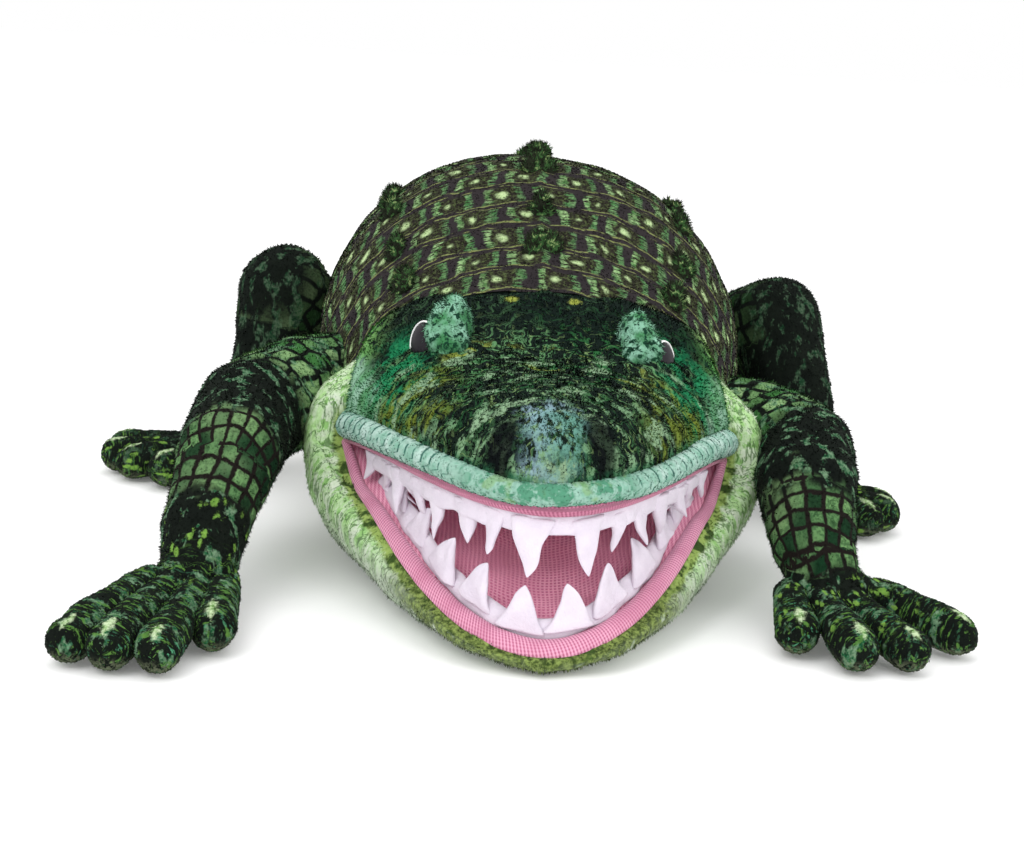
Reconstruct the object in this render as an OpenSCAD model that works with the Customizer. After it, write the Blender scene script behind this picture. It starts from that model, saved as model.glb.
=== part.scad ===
// Stuffed alligator hand puppet with a moving mouth, lying on its belly.
// The snout points along -Y, +Z is up, and the origin is on the flat of the belly.

/* [Body] */
// Width of the stuffed body at its widest
body_width = 202; // [180:1:230]
// Height of the back above the surface the puppet lies on
body_height = 174; // [160:1:190]
// Thickness of the plush skin
skin_thickness = 2; // [1.5:0.1:2.4]

/* [Head] */
// Width across the two corners of the mouth
mouth_width = 168; // [150:1:176]
// Length of the snout from the mouth hinge to the tip of the upper lip
snout_length = 133; // [125:1:140]
// Radius of the padded roll along the upper lip
lip_radius = 6; // [4:0.5:6.5]
// Diameter of each domed eye
eye_diameter = 18; // [14:1:20]

/* [Lower jaw] */
// Length of the lower jaw from its hinge to its tip
jaw_length = 141; // [130:1:145]
// Angle that the lower jaw hangs below level at rest
jaw_rest_angle = 20.7; // [18:0.1:22]
// Width of the woven band along the lower lip
band_width = 9; // [6:0.5:10]

/* [Teeth] */
// Height of the longest upper tooth
upper_tooth = 21; // [12:1:24]
// Height of the longest lower tooth
lower_tooth = 17; // [10:1:20]
// Teeth on each side of the mouth
teeth_per_side = 7; // [5:1:9]

/* [Tail] */
// Height of the scutes on the back and tail
scute_height = 8; // [5:0.5:9]

/* [Hidden] */

// Clearance between neighbouring pieces, and the overshoot that makes a cut clean
gap = 0.4;
cut = 1;
far = 600;

// Cross-sections of soft forms have this power: 1 is an ellipse, less is boxier
squareness = 0.88;
ring_sides = 24;
limb_sides = 14;
toe_sides = 12;

// Joint centres as [y, z]
mouth_hinge = [-136, 58];
neck_hinge = [-105, 70];
tail_base_y = 152;
tail_mid_y = 322;
tail_end_y = 490;

// Heights in the head
lip_z = 73;
binding_top = lip_z - lip_radius - gap;
binding_height = 4.4;
palate_z = 69.5;
pocket_z = [74, 93];
head_back_y = -107;
head_block_y = -137;

// Passage for the hand, as half width, low z, high z
passage_half = 46;
passage_z = [32, 92];
sleeve_wall = 1.5;
hand_slot_y = [44, 112];
hand_slot_half = 42;
belly_thickness = 2.4;

// Body sections as [y, half width share, low z, top share of the height]
half_body = body_width / 2;
BODY = [for (s = [
    [-103, 0.72, 6, 0.72], [-90, 0.83, 0, 0.80], [-60, 0.93, -6, 0.89], [-20, 0.99, -8, 0.98],
    [15, 1, -8, 1], [50, 0.99, -8, 0.98], [85, 0.93, -7, 0.91], [118, 0.80, -6, 0.79],
    [149, 0.64, -4, 0.64]
]) [s[0], s[1] * half_body, s[2], s[3] * body_height]];

// Tail sections as [y, half width, low z, high z]
TAIL = [
    [153, 62, -4, 108], [190, 51, -4, 92], [230, 45, -3, 80], [275, 39, -3, 69],
    [320, 33, -2, 59], [365, 27, -2, 50], [410, 21, -1, 40], [450, 15, 0, 31],
    [480, 9, 2, 23], [490, 4, 6, 17]
];

// Height of the top of the head along its length
HEAD_TOP = [[-269, 82], [-262, 91], [-250, 98], [-220, 103], [-190, 106], [-160, 110],
    [-137, 118], [-107, 130]];

// Leg centre lines, shoulder or hip first and wrist last, as [x, y, z, radius]
FRONT_LEFT = [[-114, -78, 70, 23], [-124, -118, 66, 22], [-126, -160, 62, 22], [-138, -204, 30, 18]];
FRONT_RIGHT = [[116, -78, 66, 23], [124, -118, 62, 21], [114, -154, 60, 21], [116, -184, 30, 18]];
HIND_LEFT = [[-127, 50, 76, 21], [-127, 38, 96, 21], [-148, 26, 34, 17]];
HIND_RIGHT = [[128, 50, 76, 21], [133, 34, 96, 21], [142, 4, 34, 17]];

// Paw: ankle ball as [x, y, z, radius], then the toe tips as [x, y]
FRONT_LEFT_PAW = [-141, -240, 16, 15];
FRONT_RIGHT_PAW = [126, -217, 16, 14];
HIND_LEFT_PAW = [-177, 20, 15, 13.5];
HIND_RIGHT_PAW = [160, -21, 15, 13.5];
FRONT_LEFT_TOES = [[-175, -281], [-160, -287], [-143, -288], [-127, -270]];
FRONT_RIGHT_TOES = [[167, -232], [148, -248], [126, -252], [104, -236]];
HIND_LEFT_TOES = [[-211, 40], [-214, 22], [-203, 5], [-186, -5]];
HIND_RIGHT_TOES = [[190, -8], [188, -28], [174, -42], [156, -50]];
toe_root = 10;
toe_tip = 7.5;
toe_spread = 0.3;
leg_skin = 2.4;
sole = 0.5;
wrist_opening = 8;

// Rows of scutes along the back and tail
BACK_ROWS = [-82, -52, -20, 12, 44, 76, 108];
TAIL_BASE_ROWS = [196, 224, 252, 280, 305];
TAIL_TIP_ROWS = [352, 380, 408, 436, 460];
side_row_angle = 44;
scute_root = 3;

function signed_power(v, p) = sign(v) * pow(abs(v), p);

// One ring of a soft form, drawn in from its outline by inset
function ring(s, inset, y) =
    let (rx = s[1] - inset, rz = (s[3] - s[2]) / 2 - inset, zc = (s[2] + s[3]) / 2)
    [for (k = [0:ring_sides - 1])
        let (a = 360 * k / ring_sides)
        [rx * signed_power(cos(a), squareness), y, zc + rz * signed_power(sin(a), squareness)]];

// Closed solid through a list of sections along Y
module loft(sections, inset = 0) {
    n = ring_sides;
    m = len(sections);
    points = [for (i = [0:m - 1])
        let (shift = i == 0 ? inset : i == m - 1 ? -inset : 0)
        each ring(sections[i], inset, sections[i][0] + shift)];
    front = [for (k = [n - 1:-1:0]) k];
    back = [for (k = [0:n - 1]) (m - 1) * n + k];
    sides = [for (i = [0:m - 2], k = [0:n - 1])
        [i * n + k, i * n + (k + 1) % n, (i + 1) * n + (k + 1) % n, (i + 1) * n + k]];
    polyhedron(points = points, faces = concat([front, back], sides));
}

// Everything above a level
module above(z) {
    translate([-far / 2, -far, z]) cube([far, 2 * far, far]);
}

// Solid whose side view is an outline of [y, z] points
module side_view(outline) {
    rotate([90, 0, 90]) translate([0, 0, -far / 2]) linear_extrude(far) polygon(outline);
}

// Interpolated section of a form at y
function at(sections, y, i) = lookup(y, [for (s = sections) [s[0], s[i]]]);

// Half of the mouth's outline: v runs from -1 at one corner to 1 at the other
function mouth_point(v, length, fullness) =
    [mouth_width / 2 * v * sqrt(fullness + (1 - fullness) * v * v), length * (v * v - 1)];
function mouth_normal(v, length, fullness) =
    let (a = mouth_point(v - 0.01, length, fullness), b = mouth_point(v + 0.01, length, fullness),
         d = b - a)
    [-d[1], d[0]] / norm(d);
function mouth_inset(v, length, fullness, inset) =
    mouth_point(v, length, fullness) + inset * mouth_normal(v, length, fullness);
function mouth_angle(v, length, fullness) =
    let (n = mouth_normal(v, length, fullness)) atan2(-n[0], n[1]);

upper = [snout_length, 0.85];
lower = [jaw_length, 1.15];
mouth_step = 0.08;
mouth_end = 0.97;
STEPS = [for (v = [-mouth_end:mouth_step:mouth_end + 0.001]) v];

function outline(jaw, inset) = [for (v = STEPS) mouth_inset(v, jaw[0], jaw[1], inset)];
function reversed(list) = [for (i = [len(list) - 1:-1:0]) list[i]];

// Band that follows the mouth's outline between two insets
module mouth_band(jaw, outer, inner) {
    polygon(concat(outline(jaw, outer), reversed(outline(jaw, inner))));
}

// Sheet that fills the mouth's outline
module mouth_sheet(jaw, inset) {
    polygon(outline(jaw, inset));
}

module in_head() {
    translate([0, mouth_hinge[0], 0]) children();
}

module in_jaw() {
    translate([0, mouth_hinge[0], mouth_hinge[1]]) rotate([jaw_rest_angle, 0, 0]) children();
}

// Half width of the upper lip at y
function snout_half(y) =
    let (u = max(0, min(1, 1 + (y - mouth_hinge[0]) / snout_length)))
    mouth_width / 2 * sqrt(u * (upper[1] + (1 - upper[1]) * u));

// ---------------------------------------------------------------- body

// The stuffed body with room in front for the head to nod
module body_form(inset = 0) {
    intersection() {
        loft(BODY, inset);
        above(inset);
        side_view([[-103 + inset, neck_hinge[1]], [-80 + inset, 150], [-80 + inset, far],
            [far, far], [far, -far], [-90 + inset, -far], [-90 + inset, 0]]);
    }
}

module passage(grow, front_y, back_y) {
    translate([-passage_half - grow, front_y, passage_z[0] - grow])
        cube([2 * (passage_half + grow), back_y - front_y, passage_z[1] - passage_z[0] + 2 * grow]);
}

module hand_slot(grow) {
    translate([-hand_slot_half - grow, hand_slot_y[0] - grow, -cut])
        cube([2 * (hand_slot_half + grow), hand_slot_y[1] - hand_slot_y[0] + 2 * grow,
            passage_z[0] + 2 * cut]);
}

module body_stuffing() {
    color("whitesmoke") difference() {
        intersection() {
            body_form(skin_thickness + gap);
            above(belly_thickness + gap);
        }
        passage(gap, -far, hand_slot_y[1] + gap);
        hand_slot(gap);
    }
}

module back_skin() {
    color("#3b4a35") difference() {
        body_form();
        intersection() {
            body_form(skin_thickness);
            above(-far / 2);
        }
        translate([0, 0, -far + belly_thickness + gap]) above(0);
        passage(0, -far, 0);
    }
}

module belly_panel() {
    color("#a9b58a") difference() {
        intersection() {
            body_form();
            translate([0, 0, belly_thickness - far]) above(0);
        }
        hand_slot(gap);
    }
}

module hand_sleeve() {
    color("#2c2f2c") difference() {
        union() {
            passage(0, BODY[0][0] + 2, hand_slot_y[1]);
            intersection() {
                hand_slot(0);
                above(belly_thickness + 2 * gap);
            }
        }
        passage(-sleeve_wall, -far, hand_slot_y[1] - sleeve_wall);
        hand_slot(-sleeve_wall);
    }
}

module sleeve_hem() {
    hem = 3;
    color("#1f2620") difference() {
        intersection() {
            hand_slot(0);
            translate([0, 0, belly_thickness + gap - far]) above(0);
            above(gap);
        }
        hand_slot(-hem);
    }
}

// Cone of plush that stands on a form where the surface faces an angle from upright
module scute(sections, y, angle, size) {
    half = at(sections, y, 1);
    low = at(sections, y, 2);
    high = at(sections, y, 3);
    centre = (low + high) / 2;
    x = half * signed_power(sin(angle), squareness);
    z = centre + (high - centre) * signed_power(cos(angle), squareness);
    lean = atan2(x / pow(half, 2), (z - centre) / pow(high - centre, 2));
    translate([x, y, z]) rotate([0, lean, 0]) translate([0, 0, -scute_root])
        cylinder(h = size + scute_root, r1 = size * 0.6, r2 = size * 0.2, $fn = 16);
}

module centre_scutes() {
    color("#2f5a35") difference() {
        for (y = BACK_ROWS) scute(BODY, y, 0, scute_height);
        body_form(-gap);
    }
}

module side_scutes() {
    color("#2f5a35") difference() {
        for (y = BACK_ROWS, side = [-1, 1]) scute(BODY, y, side * side_row_angle, scute_height);
        body_form(-gap);
    }
}

// ---------------------------------------------------------------- head

HEAD_STATIONS = [-267, -262, -255, -245, -230, -210, -190, -170, -150, -135, head_back_y];
HEAD = [for (y = HEAD_STATIONS)
    let (top = lookup(y, HEAD_TOP)) [y, snout_half(y), 2 * lip_z - top, top]];
CHEEKS = [[head_block_y, 89, 9, 92], [-122, 98, 7, 98], [head_back_y, 92, 9, 100]];
head_floor = palate_z - 1;

module head_form(inset = 0) {
    intersection() {
        loft(HEAD, inset);
        above(head_floor);
    }
    loft(CHEEKS, inset);
}

module lip_tube(radius) {
    n = 12;
    path = outline(upper, 0);
    m = len(path);
    points = [for (i = [0:m - 1])
        let (across = mouth_normal(STEPS[i], upper[0], upper[1]))
        for (k = [0:n - 1])
            let (a = 360 * k / n)
            [path[i][0] + radius * cos(a) * across[0], path[i][1] + radius * cos(a) * across[1],
                radius * sin(a)]];
    ends = [[for (k = [0:n - 1]) k], [for (k = [n - 1:-1:0]) (m - 1) * n + k]];
    sides = [for (i = [0:m - 2], k = [0:n - 1])
        [i * n + k, (i + 1) * n + k, (i + 1) * n + (k + 1) % n, i * n + (k + 1) % n]];
    translate([0, 0, lip_z]) polyhedron(points = points, faces = concat(ends, sides));
}

// Room inside the head for the palate layers and the fingers, with slack behind them
module palate_stack(top) {
    slack = 4;
    in_head() translate([0, 0, head_floor - cut]) linear_extrude(top - head_floor + cut) {
        mouth_sheet(upper, lip_radius);
        translate([0, slack]) mouth_sheet(upper, lip_radius);
    }
}

module finger_shape(grow, back = 0) {
    z = pocket_z;
    end = head_block_y + 4 + back;
    translate([0, 0, z[0] - grow]) linear_extrude(z[1] - z[0] + 2 * grow)
        polygon([[-44 - grow, end], [-44 - grow, -190], [-27 - grow, -232 - grow],
            [27 + grow, -232 - grow], [44 + grow, -190], [44 + grow, end]]);
}

module head_skin() {
    color("#25402f") difference() {
        head_form();
        head_form(skin_thickness);
        in_head() lip_tube(lip_radius + gap);
        palate_stack(pocket_z[0]);
        passage(0, head_block_y - cut, head_back_y + cut);
        eye_room(0);
    }
}

module head_stuffing() {
    color("whitesmoke") difference() {
        head_form(skin_thickness + gap);
        in_head() lip_tube(lip_radius + gap);
        palate_stack(pocket_z[0] - gap);
        finger_shape(gap);
        passage(gap, head_block_y - cut, head_back_y + cut);
        eye_room(gap);
    }
}

module finger_pocket() {
    color("#2c2f2c") difference() {
        finger_shape(0);
        finger_shape(-sleeve_wall, cut);
    }
}

module palate_board() {
    color("#c9b48a") in_head() translate([0, 0, palate_z + 1.2 + gap]) linear_extrude(2)
        mouth_sheet(upper, lip_radius + 3);
}

module palate_lining() {
    color("#b5607f") in_head() translate([0, 0, palate_z]) linear_extrude(1.2)
        mouth_sheet(upper, lip_radius + 1.5);
}

module upper_lip_roll() {
    color("#8fc9a8") in_head() lip_tube(lip_radius);
}

module upper_lip_binding() {
    color("#d98ba6") in_head() translate([0, 0, binding_top - binding_height])
        linear_extrude(binding_height) mouth_band(upper, -1, 4);
}

// Pointed tooth that hangs or stands at one place along a mouth outline
module tooth(jaw, v, inset, height, width) {
    thickness = 1.6;
    place = mouth_inset(v, jaw[0], jaw[1], inset);
    translate([place[0], place[1], 0]) rotate([90, 0, mouth_angle(v, jaw[0], jaw[1])])
        translate([0, 0, -thickness / 2]) linear_extrude(thickness)
            polygon([[-width / 2, 0], [width / 2, 0], [0, height]]);
}

module tooth_row(jaw, inset, height) {
    strip = 5;
    width = 13;
    linear_extrude(strip) mouth_band(jaw, inset - 0.8, inset + 0.8);
    for (i = [0:teeth_per_side - 1], side = [-1, 1]) {
        v = (i + 0.5) / teeth_per_side * 0.86;
        share = 1 - 0.45 * v;
        translate([0, 0, strip - 1]) tooth(jaw, side * v, inset, height * share - strip, width);
    }
}

module upper_teeth() {
    color("#e6dfe8") in_head() translate([0, 0, binding_top - gap]) mirror([0, 0, 1])
        tooth_row(upper, 5.6, upper_tooth);
}

// Stuffed eyelid that bulges out of the top of the head, with the eye on its outer side
eye_place = [54, -150, 108];
eyelid_place = [42, -150, 111];
eyelid_radius = 17;
shank_radius = 2.4;
shank_length = 9;
washer_radius = 6;
washer_thickness = 1.2;

// Cylinder along X at an eye, from its back face outwards by reach
module eye_cylinder(side, back, reach, radius) {
    translate([side * (eye_place[0] - back), eye_place[1], eye_place[2]])
        rotate([0, side * 90, 0]) cylinder(h = back + reach, r = radius, $fn = 32);
}

module eye_room(grow) {
    for (side = [-1, 1]) eye_cylinder(side, shank_length + 2 * gap, 30, eye_diameter / 2 + gap + grow);
}

module eyelid(side) {
    color("#7cc49a") difference() {
        translate([side * eyelid_place[0], eyelid_place[1], eyelid_place[2]])
            sphere(r = eyelid_radius, $fn = 40);
        head_form(-gap);
        eye_cylinder(side, gap, far, eye_diameter / 2 + cut);
        eye_cylinder(side, shank_length + gap, 0, shank_radius + gap);
        eye_cylinder(side, shank_length + gap, gap - shank_length + washer_thickness,
            washer_radius + gap);
    }
}

module eyelid_left() {
    eyelid(-1);
}

module eyelid_right() {
    eyelid(1);
}

// Domed eye on a shank
module eye(side) {
    r = eye_diameter / 2;
    dome = 4.5;
    bulge = (r * r + dome * dome) / (2 * dome);
    color("#22262a") translate([side * eye_place[0], eye_place[1], eye_place[2]])
        rotate([0, side * 90, 0]) {
            intersection() {
                cylinder(h = dome, r = r, $fn = 48);
                translate([0, 0, dome - bulge]) sphere(r = bulge, $fn = 64);
            }
            translate([0, 0, -shank_length])
                cylinder(h = shank_length + gap / 2, r = shank_radius, $fn = 32);
        }
}

module eye_left() {
    eye(-1);
}

module eye_right() {
    eye(1);
}

module eye_washers() {
    color("white") for (side = [-1, 1]) difference() {
        eye_cylinder(side, shank_length, washer_thickness - shank_length, washer_radius);
        eye_cylinder(side, shank_length + cut, 0, shank_radius + 0.05);
    }
}

// ---------------------------------------------------------------- lower jaw

jaw_bulge = 5;
jaw_bottom = 1;
jaw_lean = tan(jaw_rest_angle);
jaw_reach = jaw_length * cos(jaw_rest_angle);
JAW_STATIONS = [0.01, 0.04, 0.1, 0.2, 0.32, 0.46, 0.62, 0.8, 1.02];
JAW = [for (u = JAW_STATIONS)
    let (y = mouth_hinge[0] - jaw_reach * (1 - u) - jaw_bulge * (1 - u),
         level = mouth_hinge[1] + jaw_lean * (y - mouth_hinge[0]),
         half = mouth_width / 2 * sqrt(u * (lower[1] + (1 - lower[1]) * u)) + jaw_bulge)
    [y, half, jaw_bottom, 2 * level - jaw_bottom]];

module jaw_form(inset, top) {
    intersection() {
        loft(JAW, inset);
        in_jaw() translate([-far / 2, -far, top - far]) cube([far, 2 * far, far]);
        side_view([[mouth_hinge[0] - 3.5 - inset, mouth_hinge[1] + 20],
            [mouth_hinge[0] - 3.5 - inset, mouth_hinge[1]], [-154 - inset, 0],
            [-far, 0], [-far, mouth_hinge[1] + 20]]);
    }
}

// Layers down from the jaw's plane: band, lining, board, stuffing
band_thickness = 3;
lining_top = -band_thickness - gap;
board_top = lining_top - 1.2 - gap;
stuffing_top = board_top - 2 - gap;
thumb_half = 19;
thumb_depth = 17;
thumb_y = [-62, -20];
sheet_back = -13;

module thumb_shape(grow) {
    in_jaw() translate([-thumb_half - grow, thumb_y[0] - grow, stuffing_top - gap - thumb_depth - grow])
        cube([2 * (thumb_half + grow), thumb_y[1] - thumb_y[0] + 2 * grow, thumb_depth + 2 * grow]);
}

module jaw_skin() {
    color("#a8c78c") difference() {
        jaw_form(0, lining_top);
        jaw_form(skin_thickness, far / 2);
        thumb_back(0);
    }
}

module jaw_stuffing() {
    color("whitesmoke") difference() {
        jaw_form(skin_thickness + gap, stuffing_top);
        thumb_shape(gap);
        thumb_back(gap);
    }
}

// Way into the thumb pocket from behind
module thumb_back(grow) {
    in_jaw() translate([-thumb_half - grow, thumb_y[0] + 20, stuffing_top - gap - thumb_depth - grow])
        cube([2 * (thumb_half + grow), 80, thumb_depth + 2 * grow]);
}

module thumb_pocket() {
    color("#2c2f2c") difference() {
        thumb_shape(0);
        in_jaw() translate([-thumb_half + sleeve_wall, thumb_y[0] + sleeve_wall,
            stuffing_top - gap - thumb_depth + sleeve_wall])
            cube([2 * (thumb_half - sleeve_wall), 80, thumb_depth - 2 * sleeve_wall]);
    }
}

// Sheet of the jaw, cut short of the hinge
module jaw_sheet(inset) {
    intersection() {
        mouth_sheet(lower, inset);
        translate([-far / 2, sheet_back - far]) square([far, far]);
    }
}

module jaw_board() {
    color("#c9b48a") in_jaw() translate([0, 0, board_top - 2]) linear_extrude(2) jaw_sheet(6);
}

module jaw_lining() {
    color("#b5607f") in_jaw() translate([0, 0, lining_top - 1.2]) linear_extrude(1.2) jaw_sheet(3.4);
}

module lower_lip_binding() {
    color("#d98ba6") in_jaw() translate([0, 0, -band_thickness]) linear_extrude(band_thickness)
        intersection() {
            mouth_band(lower, 0, band_width);
            translate([-far / 2, -far - 5]) square([far, far]);
        }
}

module lower_teeth() {
    color("#e6dfe8") in_jaw() translate([0, 0, lining_top + gap])
        tooth_row(lower, band_width + 1.6, lower_tooth + band_thickness);
}

// ---------------------------------------------------------------- legs

module limb(line, less) {
    for (i = [0:len(line) - 2]) hull() for (p = [line[i], line[i + 1]])
        translate([p[0], p[1], p[2]]) sphere(r = p[3] - less, $fn = limb_sides);
}

// Palm of a paw, from the ankle ball to the roots of its toes
module palm(ankle, tips, less) {
    middle = (tips[1] + tips[2]) / 2;
    intersection() {
        hull() {
            translate([ankle[0], ankle[1], ankle[2]]) sphere(r = ankle[3] - less, $fn = limb_sides);
            translate([ankle[0] * (1 - toe_spread) + middle[0] * toe_spread,
                ankle[1] * (1 - toe_spread) + middle[1] * toe_spread, toe_root + 1])
                sphere(r = toe_root - less, $fn = limb_sides);
        }
        above(sole + less);
    }
}

// Toes that fan out from the palm
module toes(ankle, tips) {
    for (t = tips) hull() {
        translate([ankle[0] * (1 - toe_spread) + t[0] * toe_spread,
            ankle[1] * (1 - toe_spread) + t[1] * toe_spread, toe_root])
            sphere(r = toe_root, $fn = toe_sides);
        translate([t[0], t[1], toe_tip]) sphere(r = toe_tip, $fn = toe_sides);
    }
}

module leg_skin_form(line) {
    color("#2b4a33") difference() {
        limb(line, 0);
        limb(line, leg_skin);
    }
}

module leg_filling_form(line) {
    color("whitesmoke") limb(line, leg_skin + gap);
}

module paw_skin_form(ankle, tips, line) {
    wrist = line[len(line) - 1];
    color("#2b4a33") difference() {
        union() {
            palm(ankle, tips, 0);
            intersection() {
                toes(ankle, tips);
                above(sole);
            }
        }
        palm(ankle, tips, leg_skin);
        hull() for (p = [ankle, wrist]) translate([p[0], p[1], p[2]])
            sphere(r = wrist_opening, $fn = toe_sides);
    }
}

module paw_filling_form(ankle, tips) {
    color("whitesmoke") palm(ankle, tips, leg_skin + gap);
}

module front_left_leg_skin() {
    leg_skin_form(FRONT_LEFT);
}

module front_left_leg_filling() {
    leg_filling_form(FRONT_LEFT);
}

module front_left_paw_skin() {
    paw_skin_form(FRONT_LEFT_PAW, FRONT_LEFT_TOES, FRONT_LEFT);
}

module front_left_paw_filling() {
    paw_filling_form(FRONT_LEFT_PAW, FRONT_LEFT_TOES);
}

module front_right_leg_skin() {
    leg_skin_form(FRONT_RIGHT);
}

module front_right_leg_filling() {
    leg_filling_form(FRONT_RIGHT);
}

module front_right_paw_skin() {
    paw_skin_form(FRONT_RIGHT_PAW, FRONT_RIGHT_TOES, FRONT_RIGHT);
}

module front_right_paw_filling() {
    paw_filling_form(FRONT_RIGHT_PAW, FRONT_RIGHT_TOES);
}

module hind_left_leg_skin() {
    leg_skin_form(HIND_LEFT);
}

module hind_left_leg_filling() {
    leg_filling_form(HIND_LEFT);
}

module hind_left_paw_skin() {
    paw_skin_form(HIND_LEFT_PAW, HIND_LEFT_TOES, HIND_LEFT);
}

module hind_left_paw_filling() {
    paw_filling_form(HIND_LEFT_PAW, HIND_LEFT_TOES);
}

module hind_right_leg_skin() {
    leg_skin_form(HIND_RIGHT);
}

module hind_right_leg_filling() {
    leg_filling_form(HIND_RIGHT);
}

module hind_right_paw_skin() {
    paw_skin_form(HIND_RIGHT_PAW, HIND_RIGHT_TOES, HIND_RIGHT);
}

module hind_right_paw_filling() {
    paw_filling_form(HIND_RIGHT_PAW, HIND_RIGHT_TOES);
}

// ---------------------------------------------------------------- tail

// Wedge that lets a tail segment swing about an upright line at y
module swing_room(y) {
    slope = tan(27);
    translate([0, 0, -far / 2]) linear_extrude(far)
        polygon([[0, y], [far / 2, y + slope * far / 2], [far / 2, 2 * far], [-far / 2, 2 * far],
            [-far / 2, y + slope * far / 2]]);
}

module tail_form(front_y, back_y, inset) {
    intersection() {
        loft(TAIL, inset);
        above(inset);
        swing_room(front_y + inset * 1.5);
        translate([-far / 2, front_y - far, 0]) cube([far, back_y - inset - front_y + far, far]);
    }
}

module tail_skin_form(front_y, back_y) {
    color("#33452f") difference() {
        tail_form(front_y, back_y, 0);
        tail_form(front_y, back_y, skin_thickness);
    }
}

module tail_base_skin() {
    tail_skin_form(tail_base_y + 2, tail_mid_y - 2);
}

module tail_base_filling() {
    color("whitesmoke") tail_form(tail_base_y + 2, tail_mid_y - 2, skin_thickness + gap);
}

module tail_tip_skin() {
    tail_skin_form(tail_mid_y + 2, tail_end_y);
}

module tail_tip_filling() {
    color("whitesmoke") tail_form(tail_mid_y + 2, tail_end_y, skin_thickness + gap);
}

module tail_scutes_base() {
    color("#2f5a35") difference() {
        for (y = TAIL_BASE_ROWS, side = [-1, 1])
            scute(TAIL, y, side * side_row_angle * 0.6, scute_height);
        loft(TAIL, -gap);
    }
}

module tail_scutes_tip() {
    color("#2f5a35") difference() {
        for (y = TAIL_TIP_ROWS) scute(TAIL, y, 0, scute_height);
        loft(TAIL, -gap);
    }
}

body_stuffing();
back_skin();
belly_panel();
hand_sleeve();
sleeve_hem();
centre_scutes();
side_scutes();
head_skin();
head_stuffing();
finger_pocket();
palate_board();
palate_lining();
upper_lip_roll();
upper_lip_binding();
upper_teeth();
eyelid_left();
eyelid_right();
eye_left();
eye_right();
eye_washers();
jaw_skin();
jaw_stuffing();
thumb_pocket();
jaw_board();
jaw_lining();
lower_lip_binding();
lower_teeth();
front_left_leg_skin();
front_left_leg_filling();
front_right_leg_skin();
front_right_leg_filling();
hind_left_leg_skin();
hind_left_leg_filling();
hind_right_leg_skin();
hind_right_leg_filling();
front_left_paw_skin();
front_left_paw_filling();
front_right_paw_skin();
front_right_paw_filling();
hind_left_paw_skin();
hind_left_paw_filling();
hind_right_paw_skin();
hind_right_paw_filling();
tail_base_skin();
tail_base_filling();
tail_tip_skin();
tail_tip_filling();
tail_scutes_base();
tail_scutes_tip();
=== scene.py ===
"""Looks of a plush alligator hand puppet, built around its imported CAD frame.

Shapes are worked out in millimetres in the frame's own axes (-Y snout, +Z up) and become metres in add_mesh.
Each printed skin keeps its rest place and its print place as mesh attributes, so that patterns move with it.
"""

import math

import bmesh
import bpy
import numpy as np
from mathutils import Matrix, Vector


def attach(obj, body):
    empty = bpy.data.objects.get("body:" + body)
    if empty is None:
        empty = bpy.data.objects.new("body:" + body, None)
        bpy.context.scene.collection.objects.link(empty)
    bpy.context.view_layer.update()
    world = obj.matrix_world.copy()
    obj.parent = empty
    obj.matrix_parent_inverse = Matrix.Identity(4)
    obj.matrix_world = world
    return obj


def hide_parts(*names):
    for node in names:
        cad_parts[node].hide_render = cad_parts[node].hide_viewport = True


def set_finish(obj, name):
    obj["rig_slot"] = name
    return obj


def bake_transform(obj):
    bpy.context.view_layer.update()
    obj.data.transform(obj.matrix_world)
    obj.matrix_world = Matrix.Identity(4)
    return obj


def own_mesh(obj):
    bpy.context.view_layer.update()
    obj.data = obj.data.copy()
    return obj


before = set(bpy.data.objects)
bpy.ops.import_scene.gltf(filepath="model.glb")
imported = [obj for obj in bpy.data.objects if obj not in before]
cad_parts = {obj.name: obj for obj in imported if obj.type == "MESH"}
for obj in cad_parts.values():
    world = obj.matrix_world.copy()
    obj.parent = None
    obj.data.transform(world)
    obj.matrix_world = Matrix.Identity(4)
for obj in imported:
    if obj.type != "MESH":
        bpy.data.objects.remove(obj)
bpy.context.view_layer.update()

# ---------------------------------------------------------------- driving sizes, mm
MM = 0.001
TURN = 2 * math.pi
MIRROR = np.array([-1, 1, 1])
# mouth: half width at its corners, where they are, the lower jaw's tilt, and the way straight up from it
MOUTH_HALF = 84.0
HINGE_Y, HINGE_Z = -136.0, 58.0
JAW_ANGLE = math.radians(20.7)
JAW_UP = np.array([0, -math.sin(JAW_ANGLE), math.cos(JAW_ANGLE)])
# each jaw: length before the corners, and shape in plan, narrower than a parabola below 1 and broader above
UPPER_LENGTH, UPPER_SLIM = 127.0, 0.85
LOWER_LENGTH, LOWER_SLIM = 141.0, 1.15
# lip roll, and the distance between its stitched rings
LIP_Z, LIP_RADIUS = 72.5, 5.3
RING_PITCH = 6.4
# width of the tape round the lower jaw, and how far the jaw's edge drops just inside each corner of the mouth
BAND_WIDTH = 9.0
POCKET_DROP = 5.0
# height of the belly skin above the floor, and radius of the toes
FLOOR_GAP = 0.8
TOE_RADIUS = 9.0
# turn from the crest of the back to the pale belly, and the belly slot: middle along Y and half sizes
BELLY_SEAM = math.radians(126)
SLOT_Y, SLOT_HALF_X, SLOT_HALF_Y = 78, 42, 33

# body and tail rings: place along Y, half width, lowest and highest point
RINGS = np.array([
    (-121, 83, 8, 127), (-105, 87, 5, 135), (-90, 90, 0, 141), (-60, 96, -6, 155), (-20, 101, -8, 171),
    (15, 101.5, -8, 174), (50, 100, -8, 171), (85, 94, -7, 158), (118, 81, -6, 138), (152, 64, -4, 111),
    (190, 51, -4, 92), (230, 45, -3, 80), (275, 39, -3, 69), (320, 33, -2, 59), (365, 27, -2, 50),
    (410, 21, -1, 40), (450, 15, 0, 31), (476, 9.5, 1, 24), (485, 6, 4, 20), (489, 0.3, 11.7, 12.3),
], float)
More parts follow.
